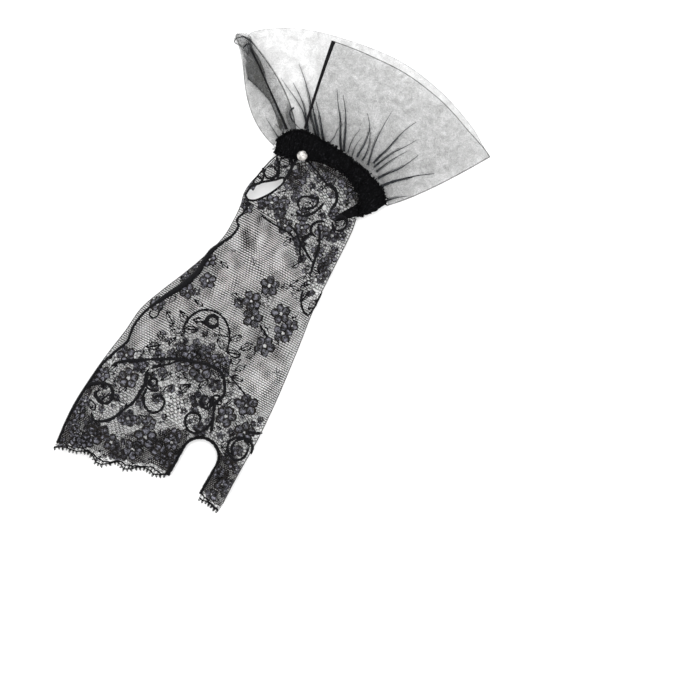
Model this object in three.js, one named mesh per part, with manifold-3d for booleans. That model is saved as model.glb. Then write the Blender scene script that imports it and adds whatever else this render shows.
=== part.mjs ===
// A fingerless dress glove of black lace, lying flat on its palm side.
// A tapering lace sleeve opens into a four-finger hole and a thumb hole, and is drawn
// into a ruched wrist band that carries a wide fan of gathered tulle.
// Millimetres, +Z up, +Y from the hand towards the cuff, the surface it lies on is z = 0.

import * as THREE from "three";
import Module from "manifold-3d";
import { mergeVertices } from "three/addons/utils/BufferGeometryUtils.js";

const wasm = await Module();
wasm.setup();

// Driving sizes
const clothWall = 1.0; // thickness of every cloth wall
const seat = 0.3; // gap left between touching pieces
const foldTop = 3.6; // top of the rounded fold along a closed side
const foldLift = 1.0; // how far that fold clears the surface below
const foldCurl = 4.0; // width over which the underside curls up to it
const sleeveReach = 26; // distance from a side to the full height of the sleeve
const thumbReach = 7.2; // half the width of the thumb hole
const thumbCrown = 9.0; // height of the thumb hole
const crotch = { x: 23.4, y: -113.2, radius: 11.5 }; // round top of the cut between thumb and fingers
const scallop = { depth: 1.0, pitch: 4.2 }; // small picots along both hand openings
const bandThickness = 2.6; // ruched band, tops of the ribs
const bandRib = 0.7; // depth of its ribs
const bandRibs = 18; // ribs across the front
// Inside heights of the band's ring
const bandRing = { frontLow: 3.4, frontRise: 5.6, backHigh: 2.6, backDrop: 0.9, mouth: 0.55 };
const ruffleGathers = { count: 27, height: 1.6 };
// Openings of the coarse net
const netGap = { acrossPitch: 12.4, alongPitch: 10.4, width: 4.2, length: 5.4, margin: 8.5 };
const cordRadius = { seam: 0.9, crotch: 1.1, placket: 0.7, ruffle: 0.8 };
const pearl = { x: -13.4, y: 73.2, base: 12.0, radius: 3.1, height: 4.6 };

// Both long sides of the sleeve, seen from above
const leftSide = [
  { y: 67, x: -26.5 },
  { y: 58, x: -28.6 },
  { y: 46, x: -32.2 },
  { y: 37, x: -32.9 },
  { y: 30, x: -31.2 },
  { y: 22, x: -30.3 },
  { y: 8, x: -30.4 },
  { y: -8, x: -34.6 },
  { y: -23, x: -40.0 },
  { y: -38, x: -46.2 },
  { y: -54, x: -51.8 },
  { y: -70, x: -53.2 },
  { y: -86, x: -55.4 },
  { y: -104, x: -57.2 },
  { y: -126, x: -58.0 },
  { y: -152, x: -55.4 },
];
const rightSide = [
  { y: 60, x: 33.0 },
  { y: 48, x: 35.2 },
  { y: 24, x: 36.7 },
  { y: -2, x: 38.5 },
  { y: -28, x: 42.3 },
  { y: -60, x: 46.4 },
  { y: -86, x: 48.5 },
  { y: -112, x: 48.9 },
  { y: -136, x: 50.0 },
];
// Height of the sleeve's upper side along its middle
const crownLine = [
  { y: 70, z: 9.5 },
  { y: 40, z: 10.5 },
  { y: 0, z: 11.5 },
  { y: -60, z: 12.5 },
  { y: -110, z: 12.5 },
  { y: -152, z: 11.5 },
];
// Seam between sleeve and wrist band, and the band's other edge, where the tulle is gathered
const cuffSeam = [
  { x: -26.5, y: 67.0 },
  { x: -20, y: 68.4 },
  { x: -12, y: 71.8 },
  { x: -4, y: 75.2 },
  { x: 6, y: 76.8 },
  { x: 15, y: 76.0 },
  { x: 23, y: 73.0 },
  { x: 29, y: 68.0 },
  { x: 33, y: 60.0 },
];
const gatherSeam = [
  { t: 0, x: -29.0, y: 73.0 },
  { t: 0.1, x: -28.0, y: 79.2 },
  { t: 0.2, x: -24.2, y: 84.8 },
  { t: 0.3, x: -17.0, y: 87.7 },
  { t: 0.5, x: 3.2, y: 88.6 },
  { t: 0.7, x: 23.5, y: 85.4 },
  { t: 0.8, x: 31.5, y: 82.4 },
  { t: 0.9, x: 38.2, y: 78.8 },
  { t: 1, x: 42.0, y: 72.8 },
];
// Lower edges of the sleeve at the fingers and at the thumb
const fingerEdge = [
  { x: -60, y: -154.6 },
  { x: -55.3, y: -152.2 },
  { x: -48, y: -147.4 },
  { x: -41, y: -144.6 },
  { x: -34, y: -143.8 },
  { x: -28, y: -144.8 },
  { x: -22, y: -143.4 },
  { x: -17, y: -139.8 },
  { x: -12, y: -139.6 },
  { x: -6, y: -137.0 },
  { x: 1.5, y: -133.4 },
  { x: 8, y: -133.9 },
  { x: 16, y: -132.4 },
];
const thumbEdge = [
  { x: 32, y: -131.0 },
  { x: 38, y: -133.0 },
  { x: 44, y: -134.6 },
  { x: 52, y: -137.0 },
];
// Limits of the coarse net: it fills the hand below the first line and the wrist above the second
const handNetLimit = [
  { x: -58, y: -90 },
  { x: -40, y: -78 },
  { x: -30, y: -54 },
  { x: -12, y: -46 },
  { x: 7, y: -50 },
  { x: 19, y: -63 },
  { x: 32, y: -73 },
  { x: 50, y: -84 },
];
const wristNetLimit = [
  { x: -32, y: 30 },
  { x: -10, y: 35 },
  { x: 3, y: 30 },
  { x: 16, y: 24 },
  { x: 22, y: 12 },
  { x: 31, y: 2 },
  { x: 40, y: -6 },
];
// Cross rows of the sleeve's mesh: where each meets the two sides, and how much of the cuff's arch it has
const sleeveRows = [
  { leftY: 67, rightY: 60, arch: 1 },
  { leftY: 60, rightY: 53, arch: 0.8 },
  { leftY: 50, rightY: 45, arch: 0.5 },
  { leftY: 40, rightY: 37, arch: 0.2 },
  { leftY: 27, rightY: 26, arch: 0 },
  { leftY: 13, rightY: 13, arch: 0 },
  { leftY: -1, rightY: -1, arch: 0 },
  { leftY: -16, rightY: -16, arch: 0 },
  { leftY: -32, rightY: -32, arch: 0 },
  { leftY: -48, rightY: -48, arch: 0 },
  { leftY: -65, rightY: -64, arch: 0 },
  { leftY: -81, rightY: -78, arch: 0 },
  { leftY: -95, rightY: -90, arch: 0 },
];
// The same below the top of the crotch, given by the angle round its arch and then by how far down its legs
const handRows = [
  { leftY: -105, rightY: -100, angle: 12, leg: 0 },
  { leftY: -110, rightY: -103, angle: 34, leg: 0 },
  { leftY: -116, rightY: -107, angle: 58, leg: 0 },
  { leftY: -123, rightY: -113, angle: 90, leg: 0 },
  { leftY: -133, rightY: -121, angle: 90, leg: 0.33 },
  { leftY: -142, rightY: -129, angle: 90, leg: 0.67 },
  { leftY: -152, rightY: -136, angle: 90, leg: 1 },
];
const legLength = 20.3; // straight part of the crotch cut, below its arch
const fingerColumns = 10;
const thumbColumns = 5;
// Soft dents and folds of the sleeve's upper side: centre, direction, half length, half width and height
const sleeveFolds = [
  { x: -8, y: 20, turn: 105, long: 26, wide: 7, rise: -1.4 },
  { x: 8, y: 4, turn: 95, long: 24, wide: 6, rise: 0.9 },
  { x: 20, y: -18, turn: 120, long: 22, wide: 8, rise: -1.2 },
  { x: -24, y: -48, turn: 60, long: 28, wide: 8, rise: 0.8 },
  { x: 22, y: -66, turn: 80, long: 26, wide: 9, rise: -1.0 },
];

// The tulle strip, one row for each radial line: where it leaves the band's ring and how high, a middle
// point, its outer edge, and how deep the gathers are there
const ruffleRows = [
  { t: 0.27, front: true, z: 8.2, mid: [-25.4, 110, 9.0], out: [-31.8, 142.0, 7.5], deep: 0.6 },
  { t: 0.36, front: true, z: 9.2, mid: [-12, 111, 12.6], out: [-12, 144.8, 13.5], deep: 1 },
  { t: 0.52, front: true, z: 9.6, mid: [12, 111, 14.0], out: [16, 146.4, 16.5], deep: 1 },
  { t: 0.68, front: true, z: 9.2, mid: [33, 105, 13.0], out: [43, 142.8, 15.5], deep: 1 },
  { t: 0.84, front: true, z: 7.6, mid: [48, 98, 9.6], out: [66, 135.6, 11.0], deep: 1 },
  { t: 0.94, front: true, z: 5.4, mid: [55, 92, 6.0], out: [78, 131.8, 6.2], deep: 0.6 },
  { t: 1, front: true, z: 3.0, mid: [58.4, 88.8, 2.6], out: [84.1, 129.3, 2.4], deep: 0.2 },
  { t: 0.94, front: false, z: 1.4, mid: [54, 93, 0.9], out: [77, 133, 0.8], deep: 0.4 },
  { t: 0.82, front: false, z: 1.3, mid: [46, 102, 0.7], out: [64, 140.2, 0.7], deep: 0.8 },
  { t: 0.66, front: false, z: 1.3, mid: [28, 109, 0.7], out: [38, 148.6, 0.7], deep: 1 },
  { t: 0.5, front: false, z: 1.3, mid: [4, 113, 0.7], out: [8, 152.0, 0.7], deep: 1 },
  { t: 0.34, front: false, z: 1.3, mid: [-20, 112, 0.7], out: [-26, 147.0, 0.7], deep: 1 },
  { t: 0.2, front: false, z: 1.3, mid: [-38, 104, 0.7], out: [-54, 138.2, 0.7], deep: 0.8 },
  { t: 0.08, front: false, z: 1.4, mid: [-49, 93, 0.9], out: [-76.5, 123.0, 0.8], deep: 0.4 },
  { t: 0, front: true, z: 2.6, mid: [-52.6, 82.6, 2.4], out: [-77.0, 112.4, 2.2], deep: 0.2 },
  { t: 0.08, front: true, z: 4.2, mid: [-49, 91.5, 4.2], out: [-84.2, 116.4, 4.0], deep: 0.4 },
  { t: 0.15, front: true, z: 4.8, mid: [-41, 98.6, 5.0], out: [-76.4, 118.6, 4.8], deep: 0.4 },
  { t: 0.2, front: true, z: 6.4, mid: [-39, 99.4, 6.6], out: [-75.6, 118.0, 6.4], deep: 0.2 },
  { t: 0.13, front: true, z: 7.8, mid: [-45, 97.0, 7.8], out: [-75.6, 113.4, 7.6], deep: 0.2 },
];
const fanCentre = { x: 6, y: 45 }; // the strip spreads away from here
const ruffleColumns = 108;
const ruffleSteps = 5;

// Lace flowers that stand out on the back of the hand: centre, reach of the petals and turn
const flowers = [
  { x: 11.1, y: -6.1, reach: 6.0, turn: 10 },
  { x: 8.5, y: -22.8, reach: 6.4, turn: 40 },
  { x: 27.0, y: -11.8, reach: 5.6, turn: 20 },
  { x: 34.0, y: -24.5, reach: 6.4, turn: 50 },
  { x: -25.2, y: -19.0, reach: 5.8, turn: 30 },
  { x: -3.0, y: -69.0, reach: 6.6, turn: 15 },
  { x: -37.0, y: -94.0, reach: 6.6, turn: 35 },
  { x: 32.6, y: -72.6, reach: 7.0, turn: 25 },
  { x: 38.6, y: -88.0, reach: 6.4, turn: 10 },
  { x: -39.0, y: -131.0, reach: 7.0, turn: 45 },
  { x: -7.6, y: -119.5, reach: 7.4, turn: 55 },
  { x: -1.6, y: 31.2, reach: 5.8, turn: 20 },
];
const flowerRelief = 0.5; // how far a flower stands up from the net
const flowerEye = 1.1; // radius of the open eye in its middle

// Piecewise cubic through a table's points, read at the given value of one column
function readTable(table, at, key, value) {
  const rising = table[table.length - 1][at] > table[0][at];
  let i = 0;
  while (i < table.length - 2 && (rising ? key > table[i + 1][at] : key < table[i + 1][at])) i += 1;
  const slope = (n) => {
    const a = table[Math.max(n - 1, 0)];
    const b = table[Math.min(n + 1, table.length - 1)];
    return (b[value] - a[value]) / (b[at] - a[at]);
  };
  const [p, q] = [table[i], table[i + 1]];
  const span = q[at] - p[at];
  const t = (key - p[at]) / span;
  if (t < 0) return p[value] + slope(i) * span * t;
  if (t > 1) return q[value] + slope(i + 1) * span * (t - 1);
  const [a, b] = [t * t * (3 - 2 * t), t * (1 - t)];
  return p[value] * (1 - a) + q[value] * a + span * b * ((1 - t) * slope(i) - t * slope(i + 1));
}

const smoothStep = (t) => THREE.MathUtils.smoothstep(t, 0, 1);
const domeRise = (q) => Math.sqrt(Math.max(0, 1 - (1 - Math.min(Math.max(q, 0), 1)) ** 2));

function crotchDistance(x, y) {
  const across = Math.abs(x - crotch.x);
  return (y > crotch.y ? Math.hypot(across, y - crotch.y) : across) - crotch.radius;
}

// How far a point of the plan lies inside the nearest closed side
function sideDistance(x, y) {
  const fromLeft = x - readTable(leftSide, "y", y, "x");
  const fromRight = readTable(rightSide, "y", y, "x") - x;
  return Math.min(fromLeft, fromRight, crotchDistance(x, y));
}

const thumbShare = (x, y) => smoothStep((-88 - y) / 25) * smoothStep((x - 15) / 15);

// Height of the sleeve's upper outside, with the given distance from the nearest side
function sleeveTop(x, y, distance) {
  const share = thumbShare(x, y);
  const crown = THREE.MathUtils.lerp(readTable(crownLine, "y", y, "z"), thumbCrown, share);
  const reach = THREE.MathUtils.lerp(sleeveReach, thumbReach, share);
  const rise = domeRise(distance / reach);
  let z = foldTop + (crown - foldTop) * rise;
  for (const fold of sleeveFolds) {
    const turn = THREE.MathUtils.degToRad(fold.turn);
    const [dx, dy] = [x - fold.x, y - fold.y];
    const along = (dx * Math.cos(turn) + dy * Math.sin(turn)) / fold.long;
    const across = (dy * Math.cos(turn) - dx * Math.sin(turn)) / fold.wide;
    z += fold.rise * rise * Math.exp(-along * along - across * across);
  }
  return z;
}

const sleeveUnderside = (distance) => foldLift * (1 - domeRise(distance / foldCurl));
const topAt = (x, y) => sleeveTop(x, y, Math.max(sideDistance(x, y), 0));

// Joins two grids of points, outside and inside, into one closed skin; cells that skip() names are left open
function closedSkin(outside, inside, { wrap = false, skip = () => false } = {}) {
  const rows = outside.length;
  const columns = outside[0].length;
  const cellColumns = wrap ? columns : columns - 1;
  const positions = [...outside.flat(), ...inside.flat()].flatMap((p) => p.toArray());
  const index = [];
  const at = (r, c, side) => side * rows * columns + r * columns + (c % columns);
  const present = (r, c) => {
    if (r < 0 || r >= rows - 1) return false;
    if (wrap) return !skip(r, (c + cellColumns) % cellColumns);
    return c >= 0 && c < cellColumns && !skip(r, c);
  };
  const quad = (a, b, c, d) => index.push(a, b, c, a, c, d);
  for (let r = 0; r < rows - 1; r += 1) {
    for (let c = 0; c < cellColumns; c += 1) {
      if (!present(r, c)) continue;
      quad(at(r, c, 0), at(r, c + 1, 0), at(r + 1, c + 1, 0), at(r + 1, c, 0));
      quad(at(r, c, 1), at(r + 1, c, 1), at(r + 1, c + 1, 1), at(r, c + 1, 1));
      const rim = (r0, c0, r1, c1) => quad(at(r0, c0, 0), at(r0, c0, 1), at(r1, c1, 1), at(r1, c1, 0));
      if (!present(r - 1, c)) rim(r, c, r, c + 1);
      if (!present(r + 1, c)) rim(r + 1, c + 1, r + 1, c);
      if (!present(r, c - 1)) rim(r + 1, c, r, c);
      if (!present(r, c + 1)) rim(r, c + 1, r + 1, c + 1);
    }
  }
  const geometry = new THREE.BufferGeometry();
  geometry.setAttribute("position", new THREE.Float32BufferAttribute(positions, 3));
  geometry.setIndex(index);
  return facingOut(geometry);
}

function facingOut(geometry) {
  const [a, b, c] = [new THREE.Vector3(), new THREE.Vector3(), new THREE.Vector3()];
  const { index, attributes } = geometry;
  let volume = 0;
  for (let i = 0; i < index.count; i += 3) {
    [a, b, c].forEach((p, n) => p.fromBufferAttribute(attributes.position, index.getX(i + n)));
    volume += a.dot(b.cross(c));
  }
  if (volume < 0) index.array.reverse(); // turns every face round
  return geometry;
}

function solidFrom(geometry) {
  const bare = new THREE.BufferGeometry();
  bare.setAttribute("position", geometry.getAttribute("position"));
  if (geometry.index) bare.setIndex(geometry.index);
  const merged = mergeVertices(bare, 1e-4);
  return new wasm.Manifold(
    new wasm.Mesh({
      numProp: 3,
      vertProperties: new Float32Array(merged.attributes.position.array),
      triVerts: new Uint32Array(merged.index.array),
    }),
  );
}

function geometryFrom(solid) {
  const { numProp, vertProperties, triVerts } = solid.getMesh();
  const positions = [];
  for (let i = 0; i < vertProperties.length; i += numProp) {
    positions.push(vertProperties[i], vertProperties[i + 1], vertProperties[i + 2]);
  }
  const geometry = new THREE.BufferGeometry();
  geometry.setAttribute("position", new THREE.Float32BufferAttribute(positions, 3));
  geometry.setIndex(Array.from(triVerts));
  return geometry;
}

// Crowds the sleeve's columns towards its closed sides, where it curves most
function columnShare(share, split, finger) {
  const quarter = (Math.PI * share) / 2;
  let crowded = finger ? 1 - Math.cos(quarter) : Math.sin(quarter);
  if (split) crowded = (1 - Math.cos(2 * quarter)) / 2;
  return 0.6 * crowded + 0.4 * share;
}

// Sleeve: plan positions of one cross row, with the closed sides drawn in by inset
function sleeveRow(row, inset) {
  const columns = fingerColumns + thumbColumns + 1;
  const leftX = readTable(leftSide, "y", row.leftY, "x") + inset;
  const rightX = readTable(rightSide, "y", row.rightY, "x") - inset;
  const radius = crotch.radius + inset;
  const split = row.angle !== undefined;
  const bend = THREE.MathUtils.degToRad(split ? row.angle : 8);
  const halfGap = radius * Math.sin(bend);
  const gapY = split ? crotch.y + radius * Math.cos(bend) - row.leg * legLength : undefined;
  const points = [];
  for (let c = 0; c <= columns; c += 1) {
    const finger = c <= fingerColumns;
    const from = finger ? leftX : crotch.x + halfGap;
    const to = finger ? crotch.x - halfGap : rightX;
    const share = finger ? c / fingerColumns : (c - fingerColumns - 1) / (columns - fingerColumns - 1);
    const x = THREE.MathUtils.lerp(from, to, columnShare(share, split, finger));
    const across = (x - leftX) / (rightX - leftX);
    let y = THREE.MathUtils.lerp(row.leftY, row.rightY, across);
    if (row.arch) {
      const line = THREE.MathUtils.lerp(cuffSeam[0].y, cuffSeam[cuffSeam.length - 1].y, across);
      y += row.arch * (readTable(cuffSeam, "x", x, "y") - line);
    }
    if (split) {
      const endY = finger ? row.leftY : row.rightY;
      const near = finger ? share : 1 - share;
      y = endY + (gapY - endY) * near;
    }
    points.push(new THREE.Vector2(x, y));
  }
  return points;
}

// Fills the sleeve's plan between its upper and lower side; overrun lengthens the open ends
function sleeveBlock(inset, drop, overrun) {
  const rows = [...sleeveRows, ...handRows].map((row) => sleeveRow(row, inset));
  const stretched = (points, dy) => points.map((p) => new THREE.Vector2(p.x, p.y + dy));
  const last = rows.length - 1;
  if (overrun) {
    rows[0] = stretched(rows[0], overrun);
    rows[last] = stretched(rows[last], -overrun);
  }
  const above = rows.map((points) =>
    points.map((p) => {
      const distance = Math.max(sideDistance(p.x, p.y) - inset, 0);
      return new THREE.Vector3(p.x, p.y, sleeveTop(p.x, p.y, distance) - drop);
    }),
  );
  const below = rows.map((points) =>
    points.map((p) => {
      const distance = Math.max(sideDistance(p.x, p.y) - inset, 0);
      return new THREE.Vector3(p.x, p.y, sleeveUnderside(distance) + drop);
    }),
  );
  const skip = (r, c) => c === fingerColumns && r >= sleeveRows.length;
  return solidFrom(closedSkin(above, below, { skip }));
}

function prism(outline, fromZ, height) {
  const shape = new THREE.Shape(outline.map(([x, y]) => new THREE.Vector2(x, y)));
  const geometry = new THREE.ExtrudeGeometry(shape, { depth: height, bevelEnabled: false });
  geometry.translate(0, 0, fromZ);
  return solidFrom(geometry);
}

// Trims the sleeve to the line of a hand opening, with its small picots
function edgeCutter(table) {
  const [from, to] = [table[0].x, table[table.length - 1].x];
  const picotSteps = 3;
  const count = Math.round((to - from) / scallop.pitch) * picotSteps;
  const outline = Array.from({ length: count + 1 }, (_, i) => {
    const x = from + ((to - from) * i) / count;
    const hump = Math.abs(Math.sin((Math.PI * i) / picotSteps));
    return [x, readTable(table, "x", x, "y") + scallop.depth * (0.5 - hump)];
  });
  const below = -170;
  return prism([[from, below], ...outline, [to, below]], -1, 40);
}

const placketSlit = [
  [-29.6, 36.4], [-29.3, 40.2], [-26.4, 44.2], [-22.0, 49.2], [-17.8, 53.6],
  [-16.2, 52.6], [-17.2, 48.2], [-20.0, 44.4], [-23.4, 39.8], [-26.2, 36.2],
];
const placketMiddle = { x: -22, y: 46, reach: 17 };
const placketEyelet = { x: -14.4, y: 64.6, radius: 1.3 };

function ringOutline(x, y, radius, sides) {
  return Array.from({ length: sides }, (_, i) => {
    const angle = (2 * Math.PI * i) / sides;
    return [x + radius * Math.cos(angle), y + radius * Math.sin(angle)];
  });
}

// A five-petalled lace flower in low relief, which follows the sleeve under it
function flowerPad({ x, y, reach, turn }) {
  const outline = Array.from({ length: 15 }, (_, i) => {
    const angle = (2 * Math.PI * i) / 15 + THREE.MathUtils.degToRad(turn);
    const radius = reach * (i % 3 === 0 ? 0.55 : 1);
    return new THREE.Vector2(x + radius * Math.cos(angle), y + radius * Math.sin(angle));
  });
  const pad = new THREE.ExtrudeGeometry(new THREE.Shape(outline), { depth: clothWall, bevelEnabled: false });
  const { position } = pad.attributes;
  for (let i = 0; i < position.count; i += 1) {
    const top = topAt(position.getX(i), position.getY(i));
    position.setZ(i, top + flowerRelief - clothWall + position.getZ(i));
  }
  return solidFrom(pad);
}

// Centres of the coarse net's openings, in staggered rows clear of the sides, the flowers and the placket
function netGapCentres() {
  const centres = [];
  for (let row = 0; row < 26; row += 1) {
    const y = 72 - row * netGap.alongPitch;
    for (let column = -7; column < 7; column += 1) {
      const x = (column + (row % 2) / 2) * netGap.acrossPitch;
      const inNet = y < readTable(handNetLimit, "x", x, "y") || y > readTable(wristNetLimit, "x", x, "y");
      const edge = x < crotch.x ? readTable(fingerEdge, "x", x, "y") : readTable(thumbEdge, "x", x, "y");
      const inCloth = y > edge + netGap.margin && y < readTable(cuffSeam, "x", x, "y") - netGap.margin;
      const nearFlower = flowers.some((f) => Math.hypot(f.x - x, f.y - y) < f.reach + netGap.length / 2);
      const nearPlacket = Math.hypot(x - placketMiddle.x, y - placketMiddle.y) < placketMiddle.reach;
      const nearSide = sideDistance(x, y) < netGap.margin;
      if (inNet && inCloth && !nearFlower && !nearPlacket && !nearSide) centres.push([x, y]);
    }
  }
  return centres;
}

function makeSleeve() {
  let solid = sleeveBlock(0, 0, 0).subtract(sleeveBlock(clothWall, clothWall, 6));
  solid = solid.subtract(edgeCutter(fingerEdge)).subtract(edgeCutter(thumbEdge));
  for (const flower of flowers) {
    solid = solid.add(flowerPad(flower));
  }
  for (const { x, y } of flowers) {
    solid = solid.subtract(prism(ringOutline(x, y, flowerEye, 5), topAt(x, y) - 4, 8));
  }
  const [halfWidth, halfLength] = [netGap.width / 2, netGap.length / 2];
  for (const [x, y] of netGapCentres()) {
    const diamond = [[x + halfWidth, y], [x, y + halfLength], [x - halfWidth, y], [x, y - halfLength]];
    solid = solid.subtract(prism(diamond, -1, 30));
  }
  solid = solid.subtract(prism(placketSlit, -1, 30));
  const { x, y, radius } = placketEyelet;
  return geometryFrom(solid.subtract(prism(ringOutline(x, y, radius, 8), -1, 30)));
}

// Point of the wrist band at t round its ring, from the sleeve (share 0) to the gathers (share 1), and
// from its inside (lift 0) to the tops of its ribs (lift 1); rib counts the ribs
function bandPoint(t, front, share, lift, rib = 0) {
  const across = (1 - Math.cos(Math.PI * t)) / 2;
  const cuffX = cuffSeam[0].x + (cuffSeam[cuffSeam.length - 1].x - cuffSeam[0].x) * across;
  const cuff = new THREE.Vector2(cuffX, readTable(cuffSeam, "x", cuffX, "y") + 2 * seat);
  const gather = new THREE.Vector2(readTable(gatherSeam, "t", t, "x"), readTable(gatherSeam, "t", t, "y"));
  const p = cuff.lerp(gather, share);
  const { frontLow, frontRise, backHigh, backDrop, mouth } = bandRing;
  const q = (1 - Math.abs(1 - 2 * across)) / mouth;
  const rise = domeRise(q);
  const side = 1 - domeRise(q * 2.2);
  const inner = front ? frontLow + frontRise * rise : backHigh - backDrop * rise;
  const ribDepth = bandRib * (0.5 + 0.5 * Math.cos(2 * Math.PI * rib)) * (front ? 1 : 0.4);
  const grow = (bandThickness - ribDepth) * lift;
  const z = front ? inner + grow * (1 - 0.5 * side) : Math.max(inner - grow, rise > 0.3 ? 0 : 0.5);
  return new THREE.Vector3(p.x + (t < 0.5 ? -1 : 1) * side * grow, p.y, z);
}

function makeBand() {
  const frontColumns = bandRibs * 4;
  const backColumns = bandRibs;
  const ring = [];
  for (let i = 0; i <= frontColumns; i += 1) ring.push({ t: i / frontColumns, front: true });
  for (let i = 1; i < backColumns; i += 1) ring.push({ t: 1 - i / backColumns, front: false });
  const hoop = (share, lift) => ring.map(({ t, front }, i) => bandPoint(t, front, share, lift, i / 4));
  const shares = [0, 0.5, 1];
  const [outside, inside] = [1, 0].map((lift) => shares.map((share) => hoop(share, lift)));
  return closedSkin(outside, inside, { wrap: true });
}

// Where a row of the tulle strip starts, just clear of the band
function ruffleStart({ t, front, z }) {
  const p = bandPoint(t, front, t === 0 ? 0.6 : 1, 1);
  const away = new THREE.Vector2(p.x - fanCentre.x, p.y - fanCentre.y).normalize();
  const clear = clothWall / 2 + (t === 0 ? 4 : 2) * seat;
  return [p.x + away.x * clear, p.y + away.y * clear, z];
}

// Point of the tulle at c along the strip and w out from the band, with its gathers
function tullePoint(c, w) {
  const last = ruffleRows.length - 1;
  const i = Math.min(Math.floor(c * last), last - 1);
  const f = c * last - i;
  const rows = [-1, 0, 1, 2].map((n) => ruffleRows[THREE.MathUtils.clamp(i + n, 0, last)]);
  const blend = (read) => {
    const [a, b, d, e] = rows.map(read);
    return b + 0.5 * f * (d - a + f * (2 * a - 5 * b + 4 * d - e + f * (3 * (b - d) + e - a)));
  };
  const blendPoint = (read) => new THREE.Vector3(...[0, 1, 2].map((k) => blend((row) => read(row)[k])));
  const start = blendPoint(ruffleStart);
  const mid = blendPoint((row) => row.mid);
  const out = blendPoint((row) => row.out);
  const middle = 0.38; // how far out the middle point lies
  const bow = mid.sub(start.clone().lerp(out, middle)).multiplyScalar(1 / (2 * middle * (1 - middle)));
  const p = start.clone().lerp(out, w).addScaledVector(bow, 2 * w * (1 - w));
  const fade = (1 - w) ** 1.3 * smoothStep(w * 8 + 0.35);
  const wave = 0.5 - 0.5 * Math.cos(2 * Math.PI * ruffleGathers.count * c);
  p.z += ruffleGathers.height * blend((row) => row.deep) * wave * (fade + 0.35 * w * smoothStep(p.z / 6));
  return p;
}

function makeRuffle() {
  const [outside, inside] = [[], []];
  const step = 1e-3;
  for (let r = 0; r <= ruffleSteps; r += 1) {
    const w = (r / ruffleSteps) ** 1.25;
    const [outer, inner] = [[], []];
    for (let n = 0; n <= ruffleColumns; n += 1) {
      const c = n / ruffleColumns;
      const p = tullePoint(c, w);
      const c0 = Math.max(c - step, 0);
      const w0 = Math.max(w - step, 0);
      const alongStrip = tullePoint(Math.min(c + step, 1), w).sub(tullePoint(c0, w));
      const outward = tullePoint(c, Math.min(w + step, 1)).sub(tullePoint(c, w0));
      const normal = alongStrip.cross(outward).normalize();
      outer.push(p.clone().addScaledVector(normal, clothWall / 2));
      inner.push(p.clone().addScaledVector(normal, -clothWall / 2));
    }
    outside.push(outer);
    inside.push(inner);
  }
  return closedSkin(outside, inside);
}

// A cord of stitches along a route of points, closed into a loop if asked
function makeCord(route, radius, loop = false) {
  const curve = new THREE.CatmullRomCurve3(route, loop, "centripetal");
  const length = curve.getLength();
  const steps = Math.round(length / (radius * 6.5));
  if (loop) return new THREE.TubeGeometry(curve, steps, radius, 6, true);
  const section = new THREE.Shape(ringOutline(0, 0, radius, 6).map(([x, y]) => new THREE.Vector2(x, y)));
  return new THREE.ExtrudeGeometry(section, { steps, extrudePath: curve, bevelEnabled: false });
}

// Height at which a cord of this radius rests on the sleeve
function restingHeight(sleeveMesh, x, y, radius) {
  const ray = new THREE.Raycaster();
  const down = new THREE.Vector3(0, 0, -1);
  const touch = radius + seat;
  let height = 0;
  for (let i = 0; i <= 16; i += 1) {
    const r = touch * [0.4, 0.8, 0][i === 16 ? 2 : i % 2];
    const angle = (Math.PI * i) / 8;
    ray.set(new THREE.Vector3(x + r * Math.cos(angle), y + r * Math.sin(angle), 40), down);
    const [hit] = ray.intersectObject(sleeveMesh);
    if (hit) height = Math.max(height, hit.point.z + Math.sqrt(touch * touch - r * r));
  }
  return height;
}

// Lays a route of plan points on the sleeve
function layOnSleeve(sleeveMesh, route, radius, loop = false) {
  const flat = route.map(([x, y]) => new THREE.Vector3(x, y, 0));
  const plan = new THREE.CatmullRomCurve3(flat, loop, "centripetal");
  const points = plan.getSpacedPoints(Math.ceil(plan.getLength() / 4));
  if (loop) points.pop();
  return points.map((p) => new THREE.Vector3(p.x, p.y, restingHeight(sleeveMesh, p.x, p.y, radius)));
}

// Edge of the lace where it is sewn down over the sleeve's one seam, from the placket to the finger hole
const seamRoute = [
  [-27.6, 31], [-27.4, 26], [-28.2, 20.6], [-25.4, 17.6], [-26, 11], [-29, 4.4], [-32, -3], [-31.6, -13],
  [-33, -21], [-36.4, -30], [-41.4, -39], [-45.8, -48], [-48.6, -56], [-49.6, -66], [-47.6, -75], [-51, -84],
  [-52.8, -94], [-53.2, -106], [-53.6, -120], [-52.6, -134], [-51.6, -146],
];
const placketRoute = [
  [-30.9, 35.6], [-30.7, 41.0], [-27.5, 45.3], [-23.1, 50.3], [-18.0, 55.2], [-14.8, 53.3], [-15.9, 47.6],
  [-18.9, 43.4], [-22.3, 38.6], [-25.6, 34.8],
];

function crotchRoute() {
  const clear = cordRadius.crotch + seat;
  const r = crotch.radius - clear;
  const z = (foldTop + foldLift) / 2 + 0.4;
  const arch = [90, 66, 42, 18, 0, -18, -42, -66, -90].map((angle) => {
    const a = THREE.MathUtils.degToRad(angle);
    return new THREE.Vector3(crotch.x - r * Math.sin(a), crotch.y + r * Math.cos(a), z);
  });
  const leg = (side) => new THREE.Vector3(crotch.x + side * r, crotch.y - legLength + 3, z);
  return [leg(-1), ...arch, leg(1)];
}

// Bound edge at one end of the tulle strip, seated on its outside
function stripEdgeRoute(c, lift) {
  return [0.04, 0.2, 0.4, 0.6, 0.8, 0.98].map((w) => {
    const p = tullePoint(c, w);
    p.z += lift;
    return p;
  });
}

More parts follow.
